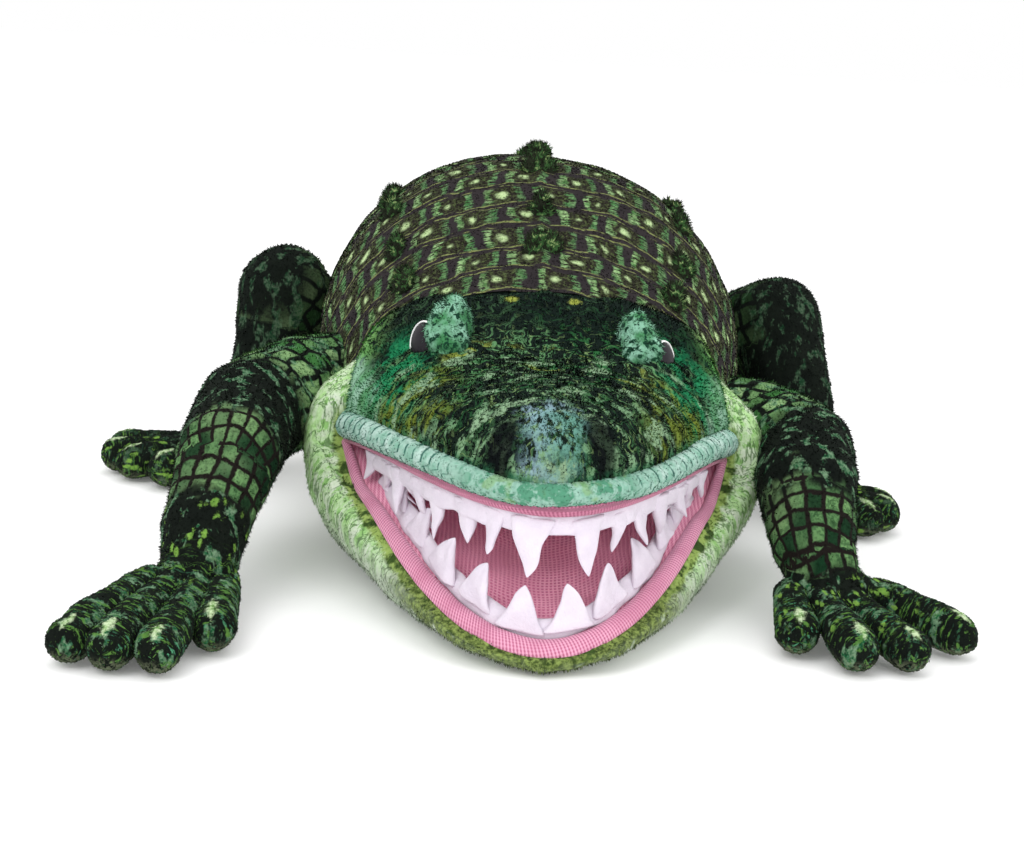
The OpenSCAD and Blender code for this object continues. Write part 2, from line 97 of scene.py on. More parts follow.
# the head's middle line: place along Y and height
CREST = np.array([
    (-266, 82), (-258, 91), (-246, 97), (-220, 102), (-190, 105), (-160, 110), (-137, 119), (-118, 126),
    (-100, 126),
], float)

# each leg: places from shoulder to wrist and the ankle ball, with their radii, and the places of the toe tips
LEGS = {
    "front_left": dict(
        joints=[(-84, -68, 68, 26), (-108, -86, 70, 25), (-126, -128, 66, 24), (-130, -165, 58, 22.5),
                (-136, -198, 34, 18)],
        ankle=(-137, -213, 22, 15.5),
        toes=[(-180, -287), (-163, -294), (-144, -295), (-126, -268)]),
    "front_right": dict(
        joints=[(84, -68, 58, 25), (106, -86, 60, 25), (121, -122, 60, 22.5), (117, -154, 54, 21.5),
                (117, -180, 34, 17.5)],
        ankle=(121, -190, 22, 15),
        toes=[(177, -226), (150, -252), (127, -255), (104, -238)]),
    "hind_left": dict(
        joints=[(-88, 62, 66, 26), (-116, 54, 82, 25), (-124, 38, 95, 24), (-130, 33, 62, 18),
                (-139, 28, 36, 15)],
        ankle=(-158, 22, 18, 13),
        toes=[(-212, 38), (-213, 20), (-203, 4), (-183, -12)]),
    "hind_right": dict(
        joints=[(88, 62, 66, 26), (118, 54, 82, 25), (130, 36, 94, 24), (139, 18, 60, 20),
                (143, 4, 36, 17)],
        ankle=(152, -8, 18, 13),
        toes=[(190, -14), (188, -31), (175, -44), (157, -50)]),
}


# ---------------------------------------------------------------- numbers
HASH_BITS = 0x7FFFFFFF


def hashed(cells, seed):
    """A repeatable number from -1 to 1 for each whole-number cell."""
    x, y, z = cells.T
    n = x * 73856093 ^ y * 19349663 ^ z * 83492791 ^ (seed * 2654435761 & HASH_BITS)
    n = (n ^ (n >> 13)) * 1274126177 & HASH_BITS
    n = (n ^ (n >> 15)) * 2246822519 & HASH_BITS
    return (n % 20011) / 10005.0 - 1.0


def lumps(points, size, seed):
    """Smooth noise from -1 to 1 at each point, with lumps about size across."""
    p = np.asarray(points, float) / size + 100.0
    cell = np.floor(p).astype(np.int64)
    f = p - cell
    f = f * f * (3 - 2 * f)
    total = np.zeros(len(p))
    for corner in np.ndindex(2, 2, 2):
        weight = np.prod(np.where(corner, f, 1 - f), axis=1)
        total += weight * hashed(cell + np.array(corner), seed)
    return total


def smooth_step(x, low, high):
    """0 below low, 1 above high, smooth between."""
    t = np.clip((x - low) / (high - low), 0, 1)
    return t * t * (3 - 2 * t)


def circle(count):
    """Angles evenly spaced round one full turn."""
    return np.linspace(0, TURN, count, endpoint=False)


def eased(count, start=-1):
    """Places from start to 1, closer together towards -1 and 1."""
    return np.sin(np.linspace(start, 1, count) * math.pi / 2)


def unit(vectors):
    """The same directions, each of length 1."""
    vectors = np.asarray(vectors, float)
    return vectors / np.maximum(np.linalg.norm(vectors, axis=-1, keepdims=True), 1e-9)


def lengths(points, axis=0):
    """Distance from the start at each point of a line, or of a grid's lines along axis."""
    steps = np.linalg.norm(np.diff(points, axis=axis), axis=-1)
    return np.insert(np.cumsum(steps, axis=axis), 0, 0, axis=axis)


def through(points, t):
    """Smooth curve through a list of points, at t from 0 to 1; points is (n, k) or a list of (m, k) rows."""
    p = np.asarray(points, float)
    last = len(p) - 1
    at = np.clip(np.asarray(t, float), 0, 1) * last
    i = np.minimum(at.astype(int), last - 1)
    f = (at - i).reshape(-1, *([1] * (p.ndim - 1)))
    a, b, c, d = p[np.maximum(i - 1, 0)], p[i], p[i + 1], p[np.minimum(i + 2, last)]
    square, cube = 2 * a - 5 * b + 4 * c - d, 3 * b - a - 3 * c + d
    return 0.5 * (2 * b + (c - a) * f + square * f ** 2 + cube * f ** 3)


def rows_at(table, y):
    """Smooth values of a table's columns at y, its first column."""
    xs = table[:, 0]
    slopes = np.gradient(table[:, 1:], xs, axis=0)
    y = np.clip(np.asarray(y, float), xs[0], xs[-1])
    i = np.clip(np.searchsorted(xs, y) - 1, 0, len(xs) - 2)
    h = (xs[i + 1] - xs[i])[:, None]
    t = (y - xs[i])[:, None] / h
    a, b, ma, mb = table[i, 1:], table[i + 1, 1:], slopes[i] * h, slopes[i + 1] * h
    ease = 3 * t ** 2 - 2 * t ** 3
    return a * (1 - ease) + b * ease + ma * (t ** 3 - 2 * t ** 2 + t) + mb * (t ** 3 - t ** 2)


# ---------------------------------------------------------------- meshes
def add_mesh(name, points, faces, material, slot=None, printed=None, place=None):
    """A smooth mesh piece from points in mm. Each point keeps its place at rest and, where the cloth is
    printed, its place in the print, both in mm."""
    mesh = bpy.data.meshes.new(name)
    mesh.from_pydata((points * MM).tolist(), [], faces if isinstance(faces, list) else faces.tolist())
    mesh.update()
    for key, values in (("place", points if place is None else place), ("print", printed)):
        if values is not None:
            layer = mesh.attributes.new(key, "FLOAT_VECTOR", "POINT")
            layer.data.foreach_set("vector", np.asarray(values, np.float32).ravel())
    mesh.polygons.foreach_set("use_smooth", [True] * len(mesh.polygons))
    mesh.materials.append(material)
    piece = bpy.data.objects.new(name, mesh)
    bpy.context.scene.collection.objects.link(piece)
    if slot:
        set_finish(piece, slot)
    return piece


def grid_faces(rows, cols, close=False):
    """Quads of a grid of rows by cols points; close joins the last column to the first."""
    i = np.arange(rows - 1)[:, None]
    j = np.arange(cols if close else cols - 1)[None, :]
    k = (j + 1) % cols
    quads = np.stack([i * cols + j, i * cols + k, (i + 1) * cols + k, (i + 1) * cols + j], -1)
    return quads.reshape(-1, 4)


def capped_faces(rows, cols):
    """Faces of a tube of rows rings, with one flat face over each end."""
    first = list(range(cols))[::-1]
    last = [(rows - 1) * cols + k for k in range(cols)]
    return [*grid_faces(rows, cols, True).tolist(), first, last]


def fanned_faces(rows, cols):
    """Faces of a tube of rows rings, with a fan over each end to the two points after the rings."""
    faces = grid_faces(rows, cols, True).tolist()
    start, end, last = rows * cols, rows * cols + 1, (rows - 1) * cols
    for k in range(cols):
        after = (k + 1) % cols
        faces.append([start, after, k])
        faces.append([end, last + k, last + after])
    return faces


def grid_normals(points, rows, cols):
    """Unit normals of a grid surface, from its two directions."""
    grid = points.reshape(rows, cols, 3)
    return unit(np.cross(np.gradient(grid, axis=1), np.gradient(grid, axis=0)).reshape(-1, 3))


def rings(path, side, up, turn, wide, high):
    """Rings of points round path: wide along side and high along up, one value of each for every ring."""
    side, up = np.reshape(side, (-1, 1, 3)), np.reshape(up, (-1, 1, 3))
    wide, high = np.reshape(wide, (-1, 1, 1)), np.reshape(high, (-1, 1, 1))
    grid = path[:, None] + wide * np.cos(turn)[:, None] * side + high * np.sin(turn)[:, None] * up
    return grid.reshape(-1, 3)


def print_grid(*parts):
    """One print place for each point of a grid, from parts that broadcast to it."""
    return np.stack(np.broadcast_arrays(*parts), -1).reshape(-1, 3)


def merged(parts):
    """Several meshes, each given as (points, faces), as one."""
    points, faces, start = [], [], 0
    for part_points, part_faces in parts:
        points.append(part_points)
        faces += [[i + start for i in face] for face in part_faces]
        start += len(part_points)
    return np.concatenate(points), faces


def tidy(piece):
    """Merges doubled points and turns the faces outwards."""
    work = bmesh.new()
    work.from_mesh(piece.data)
    bmesh.ops.remove_doubles(work, verts=work.verts, dist=0.00002)
    bmesh.ops.recalc_face_normals(work, faces=work.faces)
    work.to_mesh(piece.data)
    work.free()
    piece.data.update()
    return piece


def rounded(piece):
    """Adds one level of smooth subdivision."""
    smooth = piece.modifiers.new("round", "SUBSURF")
    smooth.levels = smooth.render_levels = 1
    return piece


def tube(name, path, radius, material, sides, slot, squash=(1.0, 1.0), groove=None):
    """A tube along path with rounded ends. radius is one number or one for each point, and squash scales
    the section across and up. groove gives the radius a factor for each distance along the tube."""
    path = np.asarray(path, float)
    n = len(path)
    run = unit(np.gradient(path, axis=0))
    side = unit(np.cross(run, (0, 0, 1.0)))
    up = np.cross(side, run)
    length = lengths(path)
    r = np.broadcast_to(radius, n).astype(float).copy()
    end = np.minimum(length, length[-1] - length)
    r *= np.sqrt(np.clip(1 - (1 - np.clip(end / np.maximum(r, 0.1), 0, 1)) ** 2, 0.02, 1))
    if groove is not None:
        r = r * groove(length)
    turn = circle(sides)
    wide, high = squash
    points = np.concatenate([rings(path, side, up, turn, wide * r, high * r), path[:1], path[-1:]])
    printed = print_grid(length[:, None], turn * np.mean(r), 0.0)
    printed = np.concatenate([printed, [[0, 0, 0]], [[length[-1], 0, 0]]])
    return add_mesh(name, points, fanned_faces(n, sides), material, slot, printed)


def mesh_arrays(piece):
    """Points in mm and unit normals of a piece."""
    count = len(piece.data.vertices)
    points = np.empty(count * 3)
    piece.data.vertices.foreach_get("co", points)
    normals = np.empty(count * 3, np.float32)
    piece.data.vertex_normals.foreach_get("vector", normals)
    return points.reshape(-1, 3) / MM, normals.reshape(-1, 3).astype(float)


def move_points(piece, points):
    """Moves a piece's points to new places in mm, after its rest place was kept."""
    piece.data.vertices.foreach_set("co", (points * MM).astype(np.float32).ravel())
    piece.data.update()


def remeshed(name, parts, voxel, smoothing):
    """One closed skin round several closed meshes given as (points, faces): points, faces in mm."""
    points, faces = merged(parts)
    mesh = bpy.data.meshes.new(name)
    mesh.from_pydata((points * MM).tolist(), [], faces)
    rough = bpy.data.objects.new(name, mesh)
    bpy.context.scene.collection.objects.link(rough)
    fuse = rough.modifiers.new("fuse", "REMESH")
    fuse.mode, fuse.voxel_size = "VOXEL", voxel * MM
    soften = rough.modifiers.new("soften", "SMOOTH")
    soften.factor, soften.iterations = 0.5, smoothing
    made = bpy.data.meshes.new_from_object(rough.evaluated_get(bpy.context.evaluated_depsgraph_get()))
    flat = np.empty(len(made.vertices) * 3)
    made.vertices.foreach_get("co", flat)
    polygons = [list(p.vertices) for p in made.polygons]
    bpy.data.objects.remove(rough)
    bpy.data.meshes.remove(made)
    bpy.data.meshes.remove(mesh)
    return flat.reshape(-1, 3) / MM, polygons


def ball(centre, radii, rows=14, cols=20):
    """A closed ellipsoid as (points, faces)."""
    up = np.linspace(0, math.pi, rows)[1:-1]
    turn = circle(cols)
    sphere = rings(np.outer(np.cos(up), (0, 0, 1)), (1, 0, 0), (0, 1, 0), turn, np.sin(up), np.sin(up))
    points = np.concatenate([sphere, [[0, 0, 1]], [[0, 0, -1]]]) * np.array(radii) + np.array(centre)
    return points, [face[::-1] for face in fanned_faces(len(up), cols)]


def rod(a, b, ra, rb, sides=20, steps=6, bulge=0.0):
    """A closed tapered rod with round ends, as (points, faces). bulge swells its middle."""
    a, b = np.array(a, float), np.array(b, float)
    long = np.linalg.norm(b - a)
    run = unit(b - a)
    side = unit(np.cross(run, (0.0, 0.0, 1.0) if abs(run[2]) < 0.9 else (1.0, 0.0, 0.0)))
    bend = np.linspace(0, math.pi / 2, steps)
    body = np.linspace(0, 1, 2 + 16 * (bulge > 0))[1:-1]
    at = np.concatenate([-ra * np.cos(bend), long * body, long + rb * np.sin(bend)])
    swell = (ra + (rb - ra) * body) * (1 + bulge * np.sin(body * math.pi))
    r = np.concatenate([ra * np.sin(bend), swell, rb * np.cos(bend)])
    r = np.maximum(r, 0.05)
    points = rings(a + np.outer(at, run), side, np.cross(side, run), circle(sides), r, r)
    return points, capped_faces(len(at), sides)


def pile(piece, spacing, length, lay, seed, width=0.7):
    """Short plush fibres standing on a piece, one thin triangle each, about one for every spacing square mm.
    They lean the way lay and keep the print of their root."""
    mesh = piece.data
    mesh.calc_loop_triangles()
    count = len(mesh.loop_triangles)
    corners = np.empty(count * 3, np.int32)
    mesh.loop_triangles.foreach_get("vertices", corners)
    corners = corners.reshape(-1, 3)
    points, normals = mesh_arrays(piece)
    a, b, c = (points[corners[:, k]] for k in range(3))
    area = np.linalg.norm(np.cross(b - a, c - a), axis=1) / 2
    rng = np.random.default_rng(seed)
    n = int(area.sum() / spacing)
    at = corners[rng.choice(count, n, p=area / area.sum())]
    share = np.sort(rng.random((n, 2)), axis=1)
    weights = np.stack([share[:, 0], share[:, 1] - share[:, 0], 1 - share[:, 1]], -1)

    def rooted(values):
        """Each fibre's share of the values at its triangle's corners."""
        return np.einsum("nk,nkd->nd", weights, values[at])

    def kept(key):
        """The skin's print or rest place at each fibre's root, for its three points."""
        if key not in mesh.attributes:
            return None
        values = np.empty(len(points) * 3, np.float32)
        mesh.attributes[key].data.foreach_get("vector", values)
        return np.repeat(rooted(values.reshape(-1, 3)), 3, axis=0)

    root, normal = rooted(points), unit(rooted(normals))
    lay = np.array(lay, float)
    lean = lay - (normal @ lay)[:, None] * normal
    way = unit(0.85 * normal + lean + 0.4 * rng.normal(size=(n, 3)))
    side = width / 2 * unit(np.cross(way, normal + 0.25 * rng.normal(size=(n, 3))))
    tip = root + way * (length * (0.6 + 0.7 * rng.random(n)))[:, None]
    fibres = np.stack([root - 0.3 * normal - side, root - 0.3 * normal + side, tip], 1).reshape(-1, 3)
    fibres[:, 2] = np.maximum(fibres[:, 2], 0.3)
    place = kept("place") + np.repeat(0.5 * rng.normal(size=(n, 3)), 3, axis=0)
    faces = np.arange(n * 3).reshape(-1, 3)
    name, material = f"{piece.name}_pile", mesh.materials[0]
    made = add_mesh(name, fibres, faces, material, piece["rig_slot"], kept("print"), place)
    shaded = unit(np.repeat(normal + 0.3 * rng.normal(size=(n, 3)), 3, axis=0))
    made.data.normals_split_custom_set_from_vertices(shaded.tolist())
    return made


# ---------------------------------------------------------------- materials
def operation(kind, swapped=False):
    """A method that puts one kind of Math node on a value and, where it takes one, another value."""
    def apply(self, other=None):
        return self.look.math(kind, other, self) if swapped else self.look.math(kind, self, other)
    return apply


class Number:
    """A value inside a material, with ordinary arithmetic."""

    __add__ = __radd__ = operation("ADD")
    __mul__ = __rmul__ = operation("MULTIPLY")
    __sub__ = operation("SUBTRACT")
    __rsub__ = operation("SUBTRACT", swapped=True)
    __truediv__ = operation("DIVIDE")
    floor = operation("FLOOR")
    fract = operation("FRACT")
    abs = operation("ABSOLUTE")
    sqrt = operation("SQRT")
    sin = operation("SINE")
    max = operation("MAXIMUM")

    def __init__(self, look, socket):
        self.look, self.socket = look, socket

    def above(self, low, high):
        """0 below low, 1 above high, smooth between."""
        return self.look.ramp(self, low, high, 0.0, 1.0)

    def below(self, low, high):
        """1 below low, 0 above high, smooth between."""
        return self.look.ramp(self, low, high, 1.0, 0.0)


# the Mix node has sockets of one name for each kind of data: these are the colour ones
MIX_A, MIX_B, MIX_RESULT = 6, 7, 2


class Look:
    """A procedural material under construction."""

    def __init__(self, name, roughness=0.9, sheen=0.0, sheen_tint=(1, 1, 1), **more):
        self.material = bpy.data.materials.new(name)
        self.material.use_nodes = True
        self.nodes, self.links = self.material.node_tree.nodes, self.material.node_tree.links
        self.shader = self.nodes["Principled BSDF"]
        self.colour = None
        settings = {
            "Roughness": roughness, "Specular IOR Level": 0.06 if sheen else 0.5, "Sheen Weight": sheen,
            "Sheen Roughness": 0.45, "Sheen Tint": (*sheen_tint, 1), "Coat Roughness": 0.05, **more,
        }
        for key, value in settings.items():
            self.shader.inputs[key].default_value = value

    def feed(self, socket, value):
        """Sets a socket to a number or a colour, or links it to a value of this material."""
        if isinstance(value, Number):
            self.links.new(value.socket, socket)
        elif isinstance(value, (tuple, list)) and len(value) == 3 and socket.type == "RGBA":
            socket.default_value = (*value, 1)
        else:
            socket.default_value = value

    def math(self, kind, a, b=None):
        """One Math node."""
        node = self.nodes.new("ShaderNodeMath")
        node.operation = kind
        self.feed(node.inputs[0], a)
        if b is not None:
            self.feed(node.inputs[1], b)
        return Number(self, node.outputs[0])

    def ramp(self, x, low, high, a, b):
        """From a, where x is at low, smoothly to b, where x is at high."""
        node = self.nodes.new("ShaderNodeMapRange")
        node.interpolation_type = "SMOOTHSTEP"
        settings = {"Value": x, "From Min": low, "From Max": high, "To Min": a, "To Max": b}
        for key, value in settings.items():
            self.feed(node.inputs[key], value)
        return Number(self, node.outputs["Result"])

    def attribute(self, name):
        """The three parts of a mesh attribute, in mm."""
        node = self.nodes.new("ShaderNodeAttribute")
        node.attribute_name = name
        split = self.nodes.new("ShaderNodeSeparateXYZ")
        self.links.new(node.outputs["Vector"], split.inputs[0])
        return [Number(self, s) for s in split.outputs]

    def place(self):
        """The place at rest as one vector, in mm."""
        return self.vector(*self.attribute("place"))

    def vector(self, x, y, z=0.0):
        """Three values as one vector."""
        node = self.nodes.new("ShaderNodeCombineXYZ")
        for socket, value in zip(node.inputs, (x, y, z)):
            self.feed(socket, value)
        return Number(self, node.outputs[0])

    def object_place(self):
        """The object's own coordinates, in metres, for CAD nodes."""
        return Number(self, self.nodes.new("ShaderNodeTexCoord").outputs["Object"])

    def noise(self, vector, scale, detail=2.0, roughness=0.5, distortion=0.0):
        """Noise from 0 to 1, mostly near 0.5."""
        node = self.nodes.new("ShaderNodeTexNoise")
        self.links.new(vector.socket, node.inputs["Vector"])
        settings = {"Scale": scale, "Detail": detail, "Roughness": roughness, "Distortion": distortion}
        for key, value in settings.items():
            node.inputs[key].default_value = value
        return Number(self, node.outputs["Fac"])

    def stretched(self, x, y, z=0.0, detail=3.0, roughness=0.7, distortion=0.0):
        """Noise of one size in coordinates that are scaled already, so that it can be long one way."""
        return self.noise(self.vector(x, y, z), 1.0, detail, roughness, distortion)

    def cells(self, vector, scale, feature="F1", spread=1.0):
        """Distance and a random number of a Voronoi pattern."""
        node = self.nodes.new("ShaderNodeTexVoronoi")
        node.feature = feature
        self.links.new(vector.socket, node.inputs["Vector"])
        node.inputs["Scale"].default_value = scale
        node.inputs["Randomness"].default_value = spread
        if feature == "DISTANCE_TO_EDGE":
            return Number(self, node.outputs["Distance"]), None
        split = self.nodes.new("ShaderNodeSeparateColor")
        self.links.new(node.outputs["Color"], split.inputs[0])
        return Number(self, node.outputs["Distance"]), Number(self, split.outputs[0])

    def mix(self, share, a, b):
        """Colour a where share is 0, b where it is 1."""
        node = self.nodes.new("ShaderNodeMix")
        node.data_type = "RGBA"
        self.feed(node.inputs["Factor"], share)
        self.feed(node.inputs[MIX_A], a)
        self.feed(node.inputs[MIX_B], b)
        return Number(self, node.outputs[MIX_RESULT])

    def paint(self, share, colour):
        """Lays colour over what the material has so far, as thickly as share says."""
        self.colour = self.mix(share, self.colour, colour)

    def finish(self, height=None, strength=0.5, distance=0.6):
        """Connects the colour and the relief; distance is the relief's depth in mm."""
        self.feed(self.shader.inputs["Base Color"], self.colour)
        if height is not None:
            node = self.nodes.new("ShaderNodeBump")
            node.inputs["Strength"].default_value = strength
            node.inputs["Distance"].default_value = distance * MM
            self.feed(node.inputs["Height"], height)
            self.links.new(node.outputs["Normal"], self.shader.inputs["Normal"])
        return self.material


def rgb(r, g, b):
    """A colour given as 0-255 screen values, as linear light."""
    shares = [c / 255 for c in (r, g, b)]
    return tuple(c / 12.92 if c <= 0.04045 else ((c + 0.055) / 1.055) ** 2.4 for c in shares)


def pile_relief(look, place):
    """Relief of short pile: fine fibres over soft clumps."""
    return look.noise(place, 1.1, 2.0, 0.6) * 0.6 + look.noise(place, 0.32, 1.0, 0.5) * 0.6


def far_from(x, x_scale, y, y_scale):
    """Distance from the middle of an oval, 1 at its edge where x * x * x_scale is 1."""
    return (x * x * x_scale + y * y * y_scale).sqrt()


def back_plush():
    """Printed back: staggered rows of bracketed cells with a pale spot, between contour lines, and a pale
    belly."""
    look = Look("back_plush", 0.95, 0.02, rgb(150, 170, 130))
    u, v, belly = look.attribute("print")
    place = look.place()
    flat = look.vector(u, v)
    wu = look.noise(flat, 0.04, 2.0) - 0.5
    wv = look.noise(look.vector(u + 71.0, v), 0.04, 2.0) - 0.5
    pu = u + wu * 13.0 + (look.noise(flat, 0.12, 2.0) - 0.5) * 4.0
    pv = v + wv * 11.0 + (look.noise(flat, 0.14, 2.0) - 0.5) * 3.0
    row_height, cell_width = 18.0, 23.5
    row = pv / row_height
    fv = row.fract()
    index = row.floor()
    column = pu / cell_width + index * 0.5 + 0.25
    fu = column.fract()
    across = ((fu - 0.5) * 2.0).abs()
    along = ((fv - 0.5) * 2.0).abs()
    _, cell_pick = look.cells(look.vector(column.floor(), index), 1.0, "F1", 0.0)
    fine = look.stretched(u * 0.22, v, 0.0)
    grain = look.noise(flat, 0.5, 3.0, 0.75)
    patch = look.noise(flat, 0.13, 2.0, 0.6)
    wobble = (grain - 0.5) * 0.6 + (patch - 0.5) * 0.5
    striped = look.stretched(u * 0.12, v * 0.9, 0.0, detail=2.0, roughness=0.6)
    bracket = (across + along * 0.12 + wobble * 0.5).above(0.46, 0.6)
    bracket = bracket * (across + wobble * 0.3).below(0.74, 0.84) * (along + wobble * 0.3).below(0.66, 0.8)
    bracket = bracket * (striped + (grain - 0.5) * 0.6).above(0.40, 0.54) * (0.65 + cell_pick * 0.35)
    flecks = fine.above(0.6, 0.7) * patch.above(0.45, 0.6) * (across.below(0.74, 0.84))
    shifted = ((fu - 0.44) * 2.0).abs()
    spot = (shifted * shifted * 1.6 + along * along * 0.62).sqrt() + wobble * 0.7 + cell_pick * 0.14
    spot = spot.below(0.12, 0.38)
    line_place = fv + (fine - 0.5) * 0.1
    contour = line_place.above(0.07, 0.09) * line_place.below(0.12, 0.14)
    second = line_place.above(0.9, 0.92) * line_place.below(0.94, 0.96)
    contour = (contour * look.noise(flat, 0.1, 2.0).above(0.36, 0.5)).max(
        second * look.noise(flat, 0.09, 2.0).above(0.46, 0.58))
    base = look.mix(look.noise(flat, 0.08, 3.0), rgb(30, 27, 31), rgb(52, 47, 48))
    inner = look.mix(grain.above(0.45, 0.65), rgb(34, 31, 26), rgb(74, 86, 50))
    look.colour = look.mix(across.below(0.6, 0.78) * along.below(0.6, 0.8) * 0.85, base, inner)
    green = look.mix(look.noise(flat, 0.22, 2.0).above(0.3, 0.7), rgb(66, 112, 60), rgb(148, 182, 126))
    green = look.mix(fu.above(0.4, 0.6) * 0.6, green, rgb(54, 104, 62))
    look.paint(bracket, green)
    look.paint(flecks * 0.45, rgb(104, 124, 82))
    look.paint(spot * grain.above(0.3, 0.45), look.mix(grain, rgb(126, 166, 92), rgb(204, 218, 176)))
    look.paint(contour * fine.above(0.36, 0.52) * 0.75, rgb(132, 142, 84))
    pale = look.mix(look.noise(place, 0.05, 3.0, 0.6), rgb(150, 168, 132), rgb(196, 206, 184))
    pale = look.mix(look.cells(place, 0.09, "DISTANCE_TO_EDGE")[0].below(0.05, 0.12), pale, rgb(96, 116, 78))
    look.paint(belly.above(-2.0, 3.0), pale)
    look.paint(belly.abs().below(0.4, 1.6) * 0.8, rgb(22, 24, 18))
    return look.finish(pile_relief(look, place), 0.35, 0.6)


def head_plush():
    """Printed head: dark behind the eyes, arched streaks, emerald sides, olive near the lip, grey nose."""
    look = Look("head_plush", 0.95, 0.02, rgb(130, 170, 150))
    x, y, z = look.attribute("place")
    place = look.vector(x, y, z)
    side = x.abs()
    wave = look.noise(place, 0.05, 2.0) - 0.5
    arch = y + x * x * 0.0060 + wave * 30.0 + (look.noise(place, 0.13, 1.0) - 0.5) * 18.0
    streak = look.stretched(x * 0.19, arch * 0.42, 0.3)
    streak2 = look.stretched(x * 0.24 + 40.0, arch * 0.48, 4.0)
    blot = look.stretched(x * 0.09, y * 0.12, z * 0.06, roughness=0.6)
    blot2 = look.stretched(x * 0.12 + 9.0, y * 0.15, z * 0.06, roughness=0.65)
    broad = look.stretched(x * 0.035 + 4.0, y * 0.04, z * 0.03, detail=1.0, roughness=0.5)
    fine = look.noise(place, 0.6, 3.0, 0.7)
    front = y.below(-232.0, -196.0)
    back = y.above(-160.0, -134.0)
    look.colour = look.mix(blot, rgb(9, 14, 14), rgb(20, 34, 28))
    cover = streak.above(0.52, 0.6) * (1.0 - back * 0.75) * (1.0 - front * 0.55)
    look.paint(cover * 0.9, look.mix(broad.above(0.42, 0.6), rgb(44, 98, 54), rgb(92, 138, 92)))
    look.paint(streak2.above(0.58, 0.65) * (1.0 - back * 0.9) * 0.85, rgb(112, 140, 88))
    mottle = blot2.above(0.53, 0.61) * front
    look.paint(mottle * fine.above(0.35, 0.5), look.mix(broad, rgb(62, 110, 72), rgb(140, 172, 134)))
    emerald = side.above(40.0, 60.0) * y.above(-208.0, -180.0) * y.below(-146.0, -128.0)
    look.paint(emerald * blot2.above(0.4, 0.58) * 0.9, look.mix(streak, rgb(10, 74, 48), rgb(34, 150, 96)))
    olive = side.above(30.0, 50.0) * y.above(-236.0, -218.0) * y.below(-182.0, -168.0)
    look.paint(olive * streak.above(0.42, 0.56) * blot.above(0.42, 0.55) * 0.85, rgb(108, 122, 40))
    yellow = look.stretched(x * 0.055 + 3.0, arch * 0.1, 0.7, detail=1.0, roughness=0.5).above(0.6, 0.66)
    yellow = yellow * y.above(-198.0, -186.0) * side.below(36.0, 46.0) * y.below(-162.0, -152.0)
    look.paint(yellow * fine.above(0.36, 0.5) * 0.9, rgb(138, 152, 66))
    pale = look.stretched(x * 0.07 + 30.0, y * 0.1, z * 0.04, detail=2.0, roughness=0.5).above(0.57, 0.63)
    pale = pale * y.below(-168.0, -156.0)
    look.paint(pale * fine.above(0.36, 0.54) * 0.85, rgb(134, 164, 130))
    nose_streak = look.stretched(x * 0.42, y * 0.2, z * 0.2, roughness=0.75)
    nose = far_from(x, 0.0048, y + 250.0, 0.0030) + (blot - 0.5) * 0.9
    grey = look.mix(broad.above(0.35, 0.65), rgb(92, 138, 124), rgb(138, 164, 180))
    look.paint(nose.below(0.55, 1.15) * nose_streak.above(0.42, 0.56), grey)
    nostril = far_from(side - 19.0, 0.013, y + 250.0, 0.008) + (blot - 0.5) * 0.6
    look.paint(nostril.below(0.45, 1.0) * 0.9, rgb(9, 12, 14))
    spots = far_from(side - 14.0, 0.06, y + 126.0, 0.10)
    look.paint((spots + (fine - 0.5) * 1.6 + (blot - 0.5)).below(0.4, 0.9), rgb(140, 150, 66))
    lip = look.attribute("print")[1].below(3.0, 12.0)
    look.paint(lip * blot2.above(0.45, 0.58) * 0.7, rgb(48, 104, 72))
    fringe = look.attribute("print")[2]
    dashes = look.stretched(x * 0.3, z * 0.14, y * 0.3)
    lime = look.mix(broad.above(0.35, 0.65), rgb(92, 152, 82), rgb(156, 196, 118))
    look.paint(fringe * dashes.above(0.4, 0.54), lime)
    corner = (side + (fine - 0.5) * 14.0).above(66.0, 78.0) * z.below(88.0, 98.0)
    look.paint(corner * 0.85, look.mix(blot.above(0.35, 0.65), rgb(98, 156, 108), rgb(162, 200, 178)))
    return look.finish(pile_relief(look, place), 0.45, 0.7)


